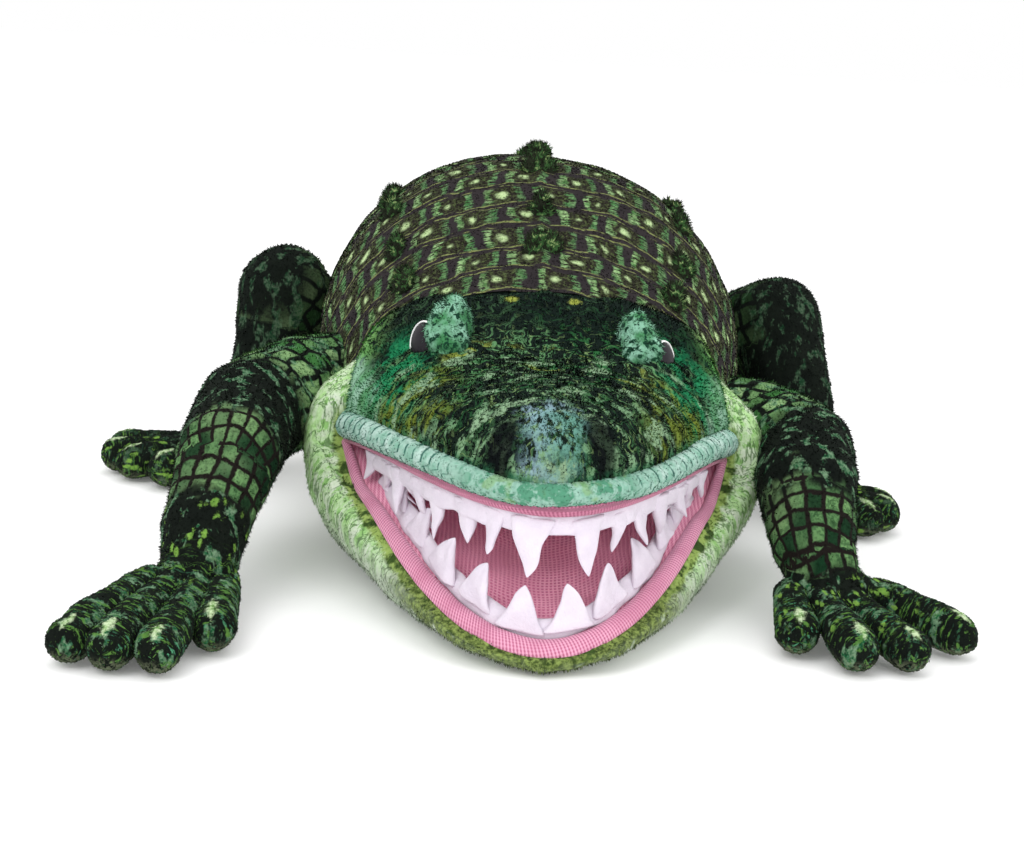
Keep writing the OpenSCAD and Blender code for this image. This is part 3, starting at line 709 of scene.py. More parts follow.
def jaw_plush():
    """Lime and white plush of the cheeks and the under jaw, olive beside the mouth band."""
    look = Look("jaw_plush", 0.95, 0.12, rgb(210, 225, 190))
    x, y, z = look.attribute("place")
    place = look.vector(x, y, z)
    edge, deep, _ = look.attribute("print")
    fall = look.vector(x * 0.10, y * 0.14, z * 0.045)
    streak = look.noise(fall, 1.0, 4.0, 0.7, 0.4)
    dash = look.stretched(x * 0.2, y * 0.3, z * 0.12)
    vein = look.stretched(x * 0.14, y * 0.2, z * 0.025 + 8.0, roughness=0.6, distortion=0.8)
    blot = look.stretched(edge * 0.13, deep * 0.10, 3.0, roughness=0.65)
    fine = look.noise(place, 0.5, 3.0, 0.7)
    look.colour = look.mix(streak.above(0.36, 0.62), rgb(206, 218, 196), rgb(168, 206, 142))
    look.paint(dash.above(0.52, 0.6) * 0.85, look.mix(fine, rgb(112, 168, 84), rgb(152, 200, 118)))
    look.paint((vein - 0.5).abs().below(0.008, 0.035) * 0.8, rgb(74, 112, 58))
    lower = z.below(12.0, 36.0)
    look.paint(lower * 0.85, look.mix(streak, rgb(196, 202, 194), rgb(166, 182, 156)))
    look.paint(lower * (vein - 0.5).abs().below(0.008, 0.03) * 0.8, rgb(70, 78, 66))
    band = (deep + (blot - 0.5) * 12.0).below(5.5, 8.5)
    leaf = look.mix(fine, rgb(118, 148, 68), rgb(168, 190, 110))
    leaf = look.mix(blot.above(0.40, 0.52), rgb(56, 78, 36), leaf)
    look.paint(band * z.below(66.0, 76.0), leaf)
    chin = y.below(-238.0, -205.0) * (deep - (streak - 0.5) * 10.0).below(14.0, 26.0)
    olive = look.mix(fine.above(0.35, 0.7), rgb(46, 60, 28), rgb(134, 152, 82))
    look.paint(chin * blot.above(0.3, 0.45) * 0.92, olive)
    return look.finish(pile_relief(look, place), 0.5, 0.8)


def lip_plush():
    """Mint roll with dark rings across it, mottled at the front."""
    look = Look("lip_plush", 0.92, 0.12, rgb(210, 235, 225))
    x, y, z = look.attribute("place")
    place = look.vector(x, y, z)
    s, t, _ = look.attribute("print")
    wob = look.noise(place, 0.12, 2.0) - 0.5
    ring = ((s + wob * 2.4 + t * 0.12) / RING_PITCH).fract()
    ring = (ring - 0.5).abs().below(0.05, 0.14)
    front = x.abs().below(24.0, 48.0)
    blot = look.noise(place, 0.16, 3.0, 0.6)
    look.colour = look.mix(blot.above(0.3, 0.7), rgb(122, 168, 148), rgb(178, 204, 194))
    ring = ring * look.noise(place, 0.3, 1.0).above(0.34, 0.5) * front.below(0.2, 1.3)
    look.paint(ring * 0.9, rgb(24, 84, 72))
    look.paint(blot.above(0.44, 0.56) * front * 0.85, rgb(42, 122, 88))
    olive = look.noise(place, 0.11, 2.0).above(0.56, 0.66) * front
    look.paint(olive * 0.5, rgb(118, 152, 80))
    return look.finish(pile_relief(look, place), 0.45, 0.6)


def eyelid_plush():
    """Pale green lid with fine dark spots, darker near the eye."""
    look = Look("eyelid_plush", 0.92, 0.1, rgb(200, 230, 215))
    x, y, z = look.attribute("place")
    place = look.vector(x, y, z)
    spots = look.noise(place, 0.36, 2.0, 0.55)
    fine = look.noise(place, 0.6, 2.0, 0.7)
    broad = look.noise(place, 0.1, 2.0).above(0.35, 0.65)
    look.colour = look.mix(broad, rgb(62, 124, 78), rgb(136, 184, 160))
    look.paint(spots.above(0.50, 0.58), rgb(22, 58, 42))
    low = look.mix(fine, rgb(14, 38, 26), rgb(40, 92, 60))
    look.paint(z.below(99.0, 113.0) * spots.above(0.36, 0.5) * 0.95, low)
    return look.finish(pile_relief(look, place), 0.5, 0.8)


def scute_plush():
    """Nearly black tufts with a few green flecks."""
    look = Look("scute_plush", 0.95, 0.02, rgb(150, 170, 130))
    place = look.place()
    fleck = look.noise(place, 0.28, 2.0, 0.6)
    look.colour = look.mix(look.noise(place, 0.1, 1.0), rgb(18, 20, 16), rgb(42, 48, 34))
    look.paint(fleck.above(0.48, 0.58), rgb(54, 88, 48))
    look.paint(fleck.above(0.6, 0.67), rgb(132, 152, 98))
    return look.finish(pile_relief(look, place), 0.6, 1.0)


def leg_plush(name, dark):
    """Scales at the shoulder, flecks at the elbow, tiles on the forearm, specks at the wrist and streaks on
    the toes. dark, from 0 to 1, dims the print as painted shade, which the hind legs get."""
    look = Look(name, 0.95, 0.02, rgb(140, 175, 140))
    x, y, z = look.attribute("place")
    place = look.vector(x, y, z)
    along, around, claw = look.attribute("print")
    wave = look.noise(place, 0.06, 2.0) - 0.5
    a = along + wave * 9.0
    r = around + wave * 6.0
    fine = look.noise(place, 0.5, 3.0, 0.7)
    soft = look.noise(place, 0.09, 2.0)
    base = look.mix(soft, rgb(8, 11, 11), rgb(22, 28, 22))
    gap, _ = look.cells(look.vector(a, r), 0.095, "DISTANCE_TO_EDGE", 0.45)
    _, pick = look.cells(look.vector(a, r), 0.095, "F1", 0.45)
    scale_colour = look.mix(pick, rgb(54, 104, 52), rgb(150, 182, 128))
    scale_colour = look.mix(fine.below(0.4, 0.5) * 0.6, scale_colour, rgb(40, 76, 42))
    scale_colour = look.mix(gap.below(0.12, 0.24) * 0.5, scale_colour, rgb(58, 92, 54))
    shoulder = (a + (fine - 0.5) * 20.0).below(58.0, 74.0)
    # dark dims the print here and below: painted shade
    scale = (gap + (fine - 0.5) * 0.14).above(0.09, 0.16) * shoulder * (1.0 - dark * 0.85)
    look.colour = look.mix(scale, base, scale_colour)
    fleck = look.stretched(x * 0.16, y * 0.16, z * 0.08, roughness=0.65)
    fleck_colour = look.mix(fine.above(0.35, 0.65), rgb(22, 82, 48), rgb(112, 142, 112))
    look.paint(fleck.above(0.53, 0.62) * (0.85 - dark * 0.65), fleck_colour)
    tile_a, tile_r = a / 8.0, r / 7.5 + 0.3
    tile_edge = (tile_a.fract() - 0.5).abs().max((tile_r.fract() - 0.5).abs()) + (fine - 0.5) * 0.26
    _, tile_pick = look.cells(look.vector(tile_a.floor(), tile_r.floor()), 1.0, "F1", 0.0)
    tile_colour = look.mix(tile_pick, rgb(20, 70, 40), rgb(104, 142, 90))
    tile_colour = look.mix(fine.below(0.42, 0.54) * 0.6, tile_colour, rgb(26, 58, 34))
    inner = look.noise(place, 0.028, 1.0).above(0.45, 0.62)
    tile_colour = look.mix(inner * 0.4, tile_colour, rgb(118, 142, 100))
    tile_colour = look.mix((1.0 - inner) * tile_pick.below(0.3, 0.5) * 0.7, tile_colour, rgb(14, 30, 20))
    zone = (a + (soft - 0.5) * 26.0).above(112.0, 122.0) * (a + (soft - 0.5) * 24.0).below(146.0, 156.0)
    look.paint(zone * (1.0 - dark * 0.5), rgb(26, 22, 20))
    look.paint(zone * tile_edge.below(0.32, 0.42) * (1.0 - dark * 0.75), tile_colour)
    speck_gap, _ = look.cells(look.vector(a * 0.6, r), 0.22, "F1", 0.8)
    speck = (speck_gap + (fine - 0.5) * 0.7).below(0.20, 0.36) * look.noise(place, 0.05, 1.0).above(0.4, 0.5)
    wrist = a.above(146.0, 158.0) * a.below(196.0, 208.0)
    look.paint(wrist * speck * 0.9, look.mix(fine, rgb(70, 120, 48), rgb(146, 186, 84)))
    cross = look.stretched(a * 0.75, r * 0.13, x * 0.03, roughness=0.65)
    cross2 = look.stretched(a * 0.75 + 9.0, r * 0.15, x * 0.03, roughness=0.65)
    toes = a.above(168.0, 196.0)
    look.paint(toes * cross.above(0.56, 0.63) * 0.85, look.mix(fine, rgb(30, 84, 46), rgb(106, 146, 62)))
    look.paint(toes * cross2.above(0.6, 0.66) * inner.max(0.2) * 0.8, rgb(78, 146, 108))
    pale = look.mix(fine.above(0.3, 0.62), rgb(104, 150, 72), rgb(184, 202, 164))
    look.paint((claw + (fine - 0.5) * 1.4).above(0.35, 0.95), pale)
    sole = z.below(3.5, 9.0) * toes
    look.paint(sole * fine.above(0.42, 0.56) * 0.7, rgb(104, 112, 88))
    return look.finish(pile_relief(look, place), 0.5, 0.8)


def ribbed(name, dark, light):
    """Twill binding tape: slanting ribs across its length."""
    look = Look(name, 0.75, 0.25, (1, 0.85, 0.9))
    s, t, _ = look.attribute("print")
    place = look.place()
    rib = ((s + t * 0.35) / 1.5 * TURN).sin() * 0.5 + 0.5
    cross = ((t - s * 0.1) / 1.1 * TURN).sin() * 0.5 + 0.5
    height = rib * 0.7 + cross * 0.3
    shade = look.noise(place, 0.06, 2.0)
    look.colour = look.mix(height.above(0.0, 0.85), dark, light)
    look.paint(shade.below(0.35, 0.6) * 0.35, dark)
    return look.finish(height, 0.6, 0.5)


def mesh_lining():
    """Rose knitted mesh: a fine grid of threads over darker ground."""
    look = Look("mouth_lining", 0.8, 0.2, (1, 0.8, 0.85))
    s, t, _ = look.attribute("print")
    place = look.place()
    wob = (look.noise(place, 0.08, 1.0) - 0.5) * 1.5
    a = ((s + wob) / 1.7 * TURN).sin()
    b = ((t + wob) / 1.7 * TURN).sin()
    thread = a.max(b)
    hole = thread.below(-0.2, 0.45)
    look.colour = look.mix(hole, rgb(246, 176, 200), rgb(212, 116, 152))
    look.paint(look.noise(place, 0.05, 2.0).below(0.4, 0.6) * 0.3, rgb(206, 118, 150))
    return look.finish(thread, 0.5, 0.5)


def fleece():
    """Soft lilac-white fleece of the teeth."""
    look = Look("tooth_fleece", 0.95, 0.15, (1, 1, 1))
    place = look.place()
    soft = look.noise(place, 0.12, 3.0, 0.55)
    look.colour = look.mix(soft, rgb(200, 190, 204), rgb(228, 220, 230))
    look.paint(look.noise(place, 0.9, 2.0).above(0.6, 0.75) * 0.3, rgb(196, 184, 198))
    return look.finish(look.noise(place, 0.7, 3.0, 0.65) + soft * 0.8, 0.5, 0.8)


def sleeve_cloth():
    """Dark plain-woven lining cloth."""
    look = Look("sleeve_cloth", 0.85, 0.2)
    place = look.place()
    s, t, _ = look.attribute("print")
    weave = ((s / 1.2) * TURN).sin() * ((t / 1.2) * TURN).sin()
    look.colour = look.mix(look.noise(place, 0.05, 2.0), rgb(40, 44, 40), rgb(58, 64, 56))
    look.paint(weave.above(0.2, 0.8) * 0.4, rgb(78, 86, 74))
    return look.finish(weave, 0.4, 0.4)


def plain_board():
    """Pressed card stiffener."""
    look = Look("board", 0.6)
    where = look.object_place()
    grain = look.noise(where, 60.0, 3.0)
    look.colour = look.mix(grain, rgb(198, 186, 160), rgb(222, 212, 190))
    return look.finish(grain, 0.2, 0.3)


def eye_plastic():
    """Nearly black domed plastic."""
    look = Look("eye_plastic", 0.5, **{"Specular IOR Level": 0.22})
    look.colour = look.mix(look.noise(look.place(), 0.4, 3.0, 0.6), rgb(10, 8, 12), rgb(34, 30, 38))
    return look.finish()


def eye_rim():
    """Glossy white ring round the eye."""
    look = Look("eye_rim", 0.3, **{"Coat Weight": 0.4})
    look.colour = look.mix(look.noise(look.place(), 0.3, 2.0), rgb(238, 238, 236), rgb(250, 250, 250))
    return look.finish()


def washer_plastic():
    """Grey moulded plastic of the eyes' locking washers."""
    look = Look("washer_plastic", 0.4)
    look.colour = look.mix(look.noise(look.object_place(), 200.0, 2.0), rgb(60, 60, 62), rgb(84, 84, 86))
    return look.finish()


def floor_paint():
    """White studio floor, lifted slightly so that it meets the white surround."""
    look = Look("floor", 0.9, **{"Emission Color": (1, 1, 1, 1), "Emission Strength": 0.08})
    where = look.vector(*look.attribute("position"))
    look.colour = look.mix(look.noise(where, 3.0, 1.0), (0.94, 0.94, 0.94), (0.96, 0.96, 0.96))
    return look.finish()


BACK, HEAD, JAW, LIP = back_plush(), head_plush(), jaw_plush(), lip_plush()
EYELID, SCUTE = eyelid_plush(), scute_plush()
# the hind legs get the front legs' plush with its print dimmed by 0.8: painted shade
LEG, HIND_PAINTED_SHADE = leg_plush("leg_plush", 0.0), leg_plush("hind_leg_plush_painted_shade", 0.8)
# the upper binding is the lower band's pink tape in darker pinks: painted shade under the lip roll
BINDING_PAINTED_SHADE = ribbed("upper_binding", rgb(150, 82, 108), rgb(206, 134, 160))
BAND = ribbed("pink_band", rgb(176, 98, 128), rgb(226, 162, 188))
LINING, TOOTH, CLOTH, BOARD = mesh_lining(), fleece(), sleeve_cloth(), plain_board()
EYE, RIM, WASHER = eye_plastic(), eye_rim(), washer_plastic()


def riding(name):
    """Makes a piece move with one body."""
    return lambda piece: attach(piece, name)


def bending():
    """Bakes a piece's transform into its mesh."""
    return lambda piece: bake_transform(piece)


BODY_BENDS = {
    "body_front": bending(),
    "body_back": bending(),
    "tail": bending(),
}
JAW_BEND = bending()


# ---------------------------------------------------------------- body and tail
def ring_points(y, turn):
    """The skin's point at each y and each turn from the crest, 0, to the belly line, pi."""
    half, low, top = rows_at(RINGS, y).T
    middle, high = (low + top) / 2, (top - low) / 2
    s, c = np.sin(turn), np.cos(turn)
    x = half[:, None] * np.sign(s) * np.abs(s) ** 0.97
    z = middle[:, None] + high[:, None] * np.sign(c) * np.abs(c) ** 0.98
    return np.stack([x, np.broadcast_to(y[:, None], x.shape), z], -1)


def body_print(points, turn):
    """Print place: across from the crest, along from the neck, and distance past the belly seam."""
    half = points.shape[1] // 2
    u = lengths(points, 1)
    u -= u[:, half:half + 1]
    crest = points[:, half]
    reach = np.linalg.norm(points[:, 0] - crest, axis=1)[:, None] / 2
    return print_grid(u, lengths(crest)[:, None], (np.abs(turn) - BELLY_SEAM) * reach)


# body pieces with their first and last place along Y, folds at the tail's joints (place, depth, width)
BODY_CUTS = [("body_front", -130, 20), ("body_back", 20, 240), ("tail", 240, 500)]
TAIL_FOLDS = [(152, 1.6, 4.0), (322, 1.2, 3.0)]


def body_skin():
    """The back, belly and tail, cut into three pieces where the joints bend them."""
    turn = np.linspace(-math.pi, math.pi, 221)
    y = np.concatenate([np.linspace(-121, 240, 145), np.linspace(240, 486, 83)[1:], [488.5, 489]])
    points = ring_points(y, turn)
    printed = body_print(points, turn)
    rows, cols = points.shape[:2]
    flat = points.reshape(-1, 3)
    normals = -grid_normals(flat, rows, cols)
    x, yy = flat[:, 0], flat[:, 1]
    push = 1.8 * lumps(flat, 48, 3) + 0.8 * lumps(flat, 17, 5) + 0.35 * lumps(flat, 5, 7)
    crest = np.exp(-(x / 3.2) ** 2) * (flat[:, 2] > 60)
    push -= 1.8 * crest * smooth_step(yy, -118, -100) * smooth_step(-yy, -70, -20)
    push += 1.3 * np.exp(-((yy + 116) / 9) ** 2) * lumps(flat * (1, 0.2, 1), 9, 11)
    push -= 1.3 * np.exp(-(printed[:, 2] / 2.2) ** 2)
    for y_fold, deep, wide in TAIL_FOLDS:
        push -= deep * np.exp(-((yy - y_fold) / wide) ** 2)
    push *= smooth_step(-yy, -489, -470)
    flat = flat + normals * push[:, None]
    flat[:, 2] = np.maximum(flat[:, 2], FLOOR_GAP + 0.3 * lumps(flat * (1, 1, 0), 4, 9) * (flat[:, 2] < 1))
    flat[:, 2] = np.maximum(flat[:, 2], 0.4)
    made = {}
    for name, low, high in BODY_CUTS:
        first = int(np.argmin(np.abs(y - max(low, y[0]))))
        last = int(np.argmin(np.abs(y - min(high, y[-1]))))
        span = slice(first * cols, (last + 1) * cols)
        part = flat[span]
        faces = grid_faces(last - first + 1, cols)[:, ::-1]
        if name == "body_back":
            corner = part[faces[:, 0]]
            past = np.abs(corner[:, 1] - SLOT_Y)
            open_slot = (np.abs(corner[:, 0]) < SLOT_HALF_X - 0.02 * past ** 2) & (past < SLOT_HALF_Y)
            faces = faces[~(open_slot & (corner[:, 2] < 6))]
        made[name] = add_mesh(name, part, faces, BACK, "back_plush", printed[span])
    return made


body = body_skin()
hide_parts("body_stuffing")
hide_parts("back_skin", "belly_panel")
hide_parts("tail_base_skin", "tail_base_filling", "tail_tip_skin", "tail_tip_filling")


def tuft(base, lean, wide, high, seed):
    """One pinched scute: a ragged furry ridge along the way lean, standing on base."""
    sides, levels = 26, 10
    t = np.linspace(0, 1, levels)
    long_way, short_way = (math.cos(lean), math.sin(lean), 0), (-math.sin(lean), math.cos(lean), 0)
    r = wide * np.maximum(np.sqrt(1 - t ** 2.6), 0.04)
    path = np.array(base) + np.outer(high * t, (0, 0, 1))
    points = rings(path, long_way, short_way, circle(sides), r, r * (0.62 - 0.26 * t))
    out = unit(points - (np.array(base) + (0, 0, high * 0.3)))
    ragged = 1.9 * lumps(points, 5.5, seed) + 1.3 * lumps(points, 2.6, seed + 1)
    return points + out * ragged[:, None], grid_faces(levels, sides, True).tolist()


def scute_row(name, places, body_name, node, sink=3.0):
    """Several tufts as one piece."""
    parts = []
    for k, (x, y, lift, turn, wide, high) in enumerate(places):
        base = (x, y, skin_height(x, y) + lift - sink)
        parts.append(tuft(base, turn, wide, high + sink, 31 + 7 * k))
    piece = rounded(add_mesh(name, *merged(parts), SCUTE, "scute_plush"))
    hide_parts(node)
    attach(piece, body_name)
    return piece, body_name


def skin_height(x, y):
    """Height of the back's skin above the place x, y."""
    half, low, top = rows_at(RINGS, np.array([float(y)]))[0]
    return (low + top) / 2 + (top - low) / 2 * math.sqrt(1 - min(abs(x) / half, 0.99) ** 2)


# each scute: place, lift above the skin, the way its ridge runs, half length, height
ALONG = math.pi / 2
centre_turns = [(y, ALONG if k % 2 else 0.3) for k, y in enumerate((-88, -56, -18, 12, 44, 76, 108))]
centre_places = [(0, y, 0, turn, 9.5, 7.5) for y, turn in centre_turns]
side_line = [(61, -90), (66, -60), (69, -22), (70, 12), (70, 44), (66, 76), (58, 108)]
side_places = [(side * x, y, -1, ALONG, 10, 8) for side in (-1, 1) for x, y in side_line]
tail_places = [(side * 16, y, 0, ALONG, 7.5, 7) for y in (196, 224, 252, 280, 305) for side in (-1, 1)]
tip_places = [(0, y, 0, ALONG, 7 - 0.02 * (y - 340), 7) for y in (352, 380, 408, 436, 460)]
scute_rows = [
    scute_row("centre_scute_tufts", centre_places, "body", "centre_scutes"),
    scute_row("side_scute_tufts", side_places, "body", "side_scutes"),
    scute_row("tail_base_scute_tufts", tail_places, "tail_base", "tail_scutes_base"),
    scute_row("tail_tip_scute_tufts", tip_places, "tail_tip", "tail_scutes_tip"),
]


# ---------------------------------------------------------------- head
def mouth_edge(v, length, slim, half=MOUTH_HALF):
    """The mouth's edge in plan, at v from -1 at the left corner to 1 at the right one."""
    v = np.asarray(v, float)
    x = half * v * np.sqrt(slim + (1 - slim) * v * v)
    return x, HINGE_Y - length * (1 - v * v)


def jaw_edge(v, inset=0.0, lift=0.0):
    """The lower jaw's edge on its tilted plane, moved inwards by inset and up by lift."""
    v = np.asarray(v, float)
    x, along = mouth_edge(v, LOWER_LENGTH, LOWER_SLIM)
    along = HINGE_Y - along
    scale = 1 - inset / 75.0
    x, along = x * scale, along * (1 - inset / LOWER_LENGTH)
    y = HINGE_Y - along * math.cos(JAW_ANGLE) - lift * math.sin(JAW_ANGLE)
    z = HINGE_Z - along * math.sin(JAW_ANGLE) + lift * math.cos(JAW_ANGLE)
    pocket = np.exp(-((np.abs(v) - 0.91) / 0.08) ** 2) * (1 - np.abs(v) ** 30)
    return np.stack([x, y, z - POCKET_DROP * pocket], -1)


def lip_height(v):
    """Height of the lip roll's middle; it drops at the corners of the mouth."""
    return LIP_Z - 1.8 + 2.0 * v * v - 6.5 * v ** 8


# edge of the head's top skin, from the corner of the mouth back to the neck, right side
SEAM = np.array([(83, -138, 71), (82, -131, 80), (80, -124, 88), (77, -114, 95), (73, -104, 97)], float)


def head_top():
    """Top of the head: from the lip roll and the cheek seam up to the crest."""
    v = eased(60, 0)
    x, y = mouth_edge(v, UPPER_LENGTH + 1, UPPER_SLIM)
    lip = np.stack([x, y, lip_height(v) + 3.6], -1)
    edge = np.concatenate([lip[:-4], through(SEAM, np.linspace(0, 1, 22))])
    rows = len(edge)
    share = np.linspace(0, 1, rows)
    crest_y = np.where(share < 0.72, -258 + 112 * (share / 0.72) ** 1.25, -146 + 42 * ((share - 0.72) / 0.28))
    crest_z = rows_at(CREST, crest_y)[:, 0]
    crest = np.stack([0 * crest_y, crest_y, crest_z], -1)
    w = np.linspace(0, math.pi / 2, 46)
    bow, rise = np.cos(w) ** 0.94, np.sin(w) ** 0.90
    share_up = np.stack([1 - bow, 1 - bow, rise], -1)
    right = edge[:, None] + (crest - edge)[:, None] * share_up
    grid = np.concatenate([right, right[:, -2::-1] * MIRROR], axis=1)
    cols = grid.shape[1]
    points = grid.reshape(-1, 3)
    normals = grid_normals(points, rows, cols)
    normals *= np.sign(normals[:, 2:3] + 1e-6)
    lip_distance = np.tile(np.minimum(np.arange(cols), np.arange(cols)[::-1]) * 2.2, rows)
    seam = np.repeat(smooth_step(share, 0.68, 0.80), cols) * (1 - smooth_step(lip_distance, 14, 44))
    push = 1.2 * lumps(points, 30, 21) + 0.6 * lumps(points, 11, 22) + 0.3 * lumps(points, 4, 23)
    x, y = points[:, 0], points[:, 1]
    push -= 3.0 * np.exp(-(x / 24) ** 2 - ((y + 158) / 26) ** 2)
    push += 4.0 * np.exp(-((np.abs(x) - 44) / 15) ** 2 - ((y + 150) / 20) ** 2)
    push *= smooth_step(lip_distance, -1, 6)
    points = points + normals * push[:, None]
    printed = np.stack([points[:, 0], lip_distance, seam], -1)
    return tidy(add_mesh("head_top", points, grid_faces(rows, cols), HEAD, "head_plush", printed))


head = head_top()
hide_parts("head_skin", "head_stuffing", "finger_pocket")
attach(head, "head")

# ---------------------------------------------------------------- cheeks and lower jaw
# right half, from the chin: each row's place along the mouth's edge, as far as its corner, then each row's
# bulge and floor line, on to the neck
JAW_EDGE = np.array([0, 0.29, 0.52, 0.69, 0.84, 0.94, 1.0])
JAW_FORM = np.array([
    [(0, -270.5, 4.5), (0, -262, 1.2)],
    [(28.5, -261, 7.5), (21, -250, 1.2)],
    [(48.5, -236, 13), (37, -226, 2)],
    [(65, -208, 19), (51, -201, 4)],
    [(79, -178, 27), (62, -175, 7)],
    [(92, -153, 37), (73, -151, 9)],
    [(98.5, -138, 46), (78, -138, 9)],
    [(101, -127, 54), (81, -126, 10)],
    [(101, -119, 58), (80, -116, 11)],
    [(94, -109, 60), (76, -106, 12)],
    [(82, -102, 60), (70, -101, 13)],
], float)
# behind the last row the skin turns in towards the neck's middle: size against that row, and distance back
NECK = np.array([0, -102, 55], float)
JAW_TUCK = [(0.94, 2.5), (0.82, 4.5), (0.62, 6.0), (0.4, 7.0)]
CHEEK_EDGE = np.array([(81, -134, 78), (79, -126, 89), (78, -117, 94), (72, -104, 97)], float)


def jaw_skin():
    """Cheeks and the jaw's underside: one skin from the left of the neck round the chin to its right."""
    s = np.linspace(0, 1, 120)
    last_edge = (len(JAW_EDGE) - 1) / (len(JAW_FORM) - 1)
    v = np.interp(s / last_edge * (len(JAW_EDGE) - 1), np.arange(len(JAW_EDGE)), JAW_EDGE)
    lip_edge = jaw_edge(v, 2.5, -0.4)
    cheek = through(np.concatenate([lip_edge[-1:], CHEEK_EDGE]), (s - last_edge) / (1 - last_edge))
    form = through(JAW_FORM, s)
    top = np.where((s <= last_edge)[:, None], lip_edge, cheek)
    right = np.stack([top, form[:, 0], form[:, 1]], axis=1)
    tucks = [NECK + (right[-1] - NECK) * (size, 1, size) + (0, back, 0) for size, back in JAW_TUCK]
    right = np.concatenate([right, tucks])
    edge, bulge, floor = np.concatenate([(right * MIRROR)[::-1], right[1:]]).transpose(1, 0, 2)
    centre_y = np.clip(floor[:, 1] + 6, -262, -104)
    centre = np.stack([0 * centre_y, centre_y, 1.2 + 9 * smooth_step(centre_y, -150, -110)], -1)
    swell = bulge - (edge + floor) / 2
    high = (edge + bulge) / 2 + swell * 0.32
    low = (bulge + floor) / 2 + swell * 0.30
    low[:, 2] = np.maximum(low[:, 2], 0.8)
    rows, cols = len(edge), 64
    stack = np.stack([edge, high, bulge, low, floor, (floor + centre) / 2, centre])
    grid = through(stack, np.linspace(0, 1, cols)).transpose(1, 0, 2)
    points = grid.reshape(-1, 3)
    normals = grid_normals(points, rows, cols)
    normals *= np.sign(np.sum(normals * (points - (0, -180, 40)), axis=1, keepdims=True))
    printed = print_grid(lengths(edge)[:, None], lengths(grid, 1), 0.0)
    push = 1.4 * lumps(points, 34, 41) + 0.8 * lumps(points, 12, 42) + 0.4 * lumps(points, 4.5, 43)
    push *= smooth_step(printed[:, 1], 0, 6)
    points = points + normals * push[:, None]
    points[:, 2] = np.maximum(points[:, 2], 0.6)
    return tidy(add_mesh("jaw_and_cheeks", points, grid_faces(rows, cols), JAW, "jaw_plush", printed))


jaw = jaw_skin()
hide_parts("jaw_skin", "jaw_stuffing", "thumb_pocket")
JAW_BEND(jaw)

# ---------------------------------------------------------------- lip roll and bindings
v = eased(260)
lx, ly = mouth_edge(v, UPPER_LENGTH, UPPER_SLIM)
roll = np.abs(v) < 0.97
lip_path = np.stack([lx, ly, lip_height(v) + 0.5 * np.sin(v * 9)], -1)[roll]
lip_radius = LIP_RADIUS + 1.3 * np.abs(v[roll]) ** 2 + 0.3 * lumps(lip_path, 14, 5)
tail_share = np.linspace(0, 1, 9)[1:]
tail_end = through([lip_path[-1], (82.3, -138.5, 67), (81.5, -133, 69), (79, -127, 73)], tail_share)
tail_radius = 5.4 - 2.4 * tail_share
lip_path = np.concatenate([(tail_end * MIRROR)[::-1], lip_path, tail_end])
lip_radius = np.concatenate([tail_radius[::-1], lip_radius, tail_radius])


def stitched(length):
    """Shallow pinch at each ring of the roll."""
    return 1 - 0.05 * np.exp(-((((length / RING_PITCH) % 1) - 0.5) / 0.11) ** 2)


lip = tube("upper_lip", lip_path, lip_radius, LIP, 28, "lip_plush", (1.0, 0.92), stitched)
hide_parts("upper_lip_roll")
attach(lip, "head")

bx, by = mouth_edge(v, UPPER_LENGTH - 2.5, UPPER_SLIM, MOUTH_HALF - 1)
binding_path = np.stack([bx, by, LIP_Z - 7.2 + 1.0 * v * v - 5.5 * v ** 8], -1)
binding = tube("upper_binding", binding_path, 4.1 - 1.2 * np.abs(v), BINDING_PAINTED_SHADE, 18, "pink_band", (0.62, 1.0))
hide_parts("upper_lip_binding")
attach(binding, "head")


def lower_band():
    """Wide flat tape laid over the jaw's edge, with a soft crown."""
    n, m = 280, 15
    vv = eased(n)
    outer, inner = jaw_edge(vv, -0.5, 0.0), jaw_edge(vv, BAND_WIDTH, 1.5)
    inner = outer + (inner - outer) * (1 - 0.62 * np.abs(vv) ** 3)[:, None]
    t = np.linspace(0, 1, m)
    top = outer[:, None] * (1 - t)[None, :, None] + inner[:, None] * t[None, :, None]
    crown = np.sin(t * math.pi) ** 0.7 * 2.2
    top = top + crown[None, :, None] * JAW_UP
    under = top[:, ::-1] - (0.4 + 2 * crown[None, ::-1, None]) * JAW_UP
    points = np.concatenate([top, under], axis=1).reshape(-1, 3)
    printed = print_grid(lengths(outer)[:, None], BAND_WIDTH * np.concatenate([t, t[::-1]]), 0.0)
    points = points + 0.35 * lumps(points, 12, 61)[:, None] * JAW_UP
    return tidy(add_mesh("lower_band", points, grid_faces(n, 2 * m, True), BAND, "pink_band", printed))


band = lower_band()
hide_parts("lower_lip_binding")
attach(band, "lower_jaw")


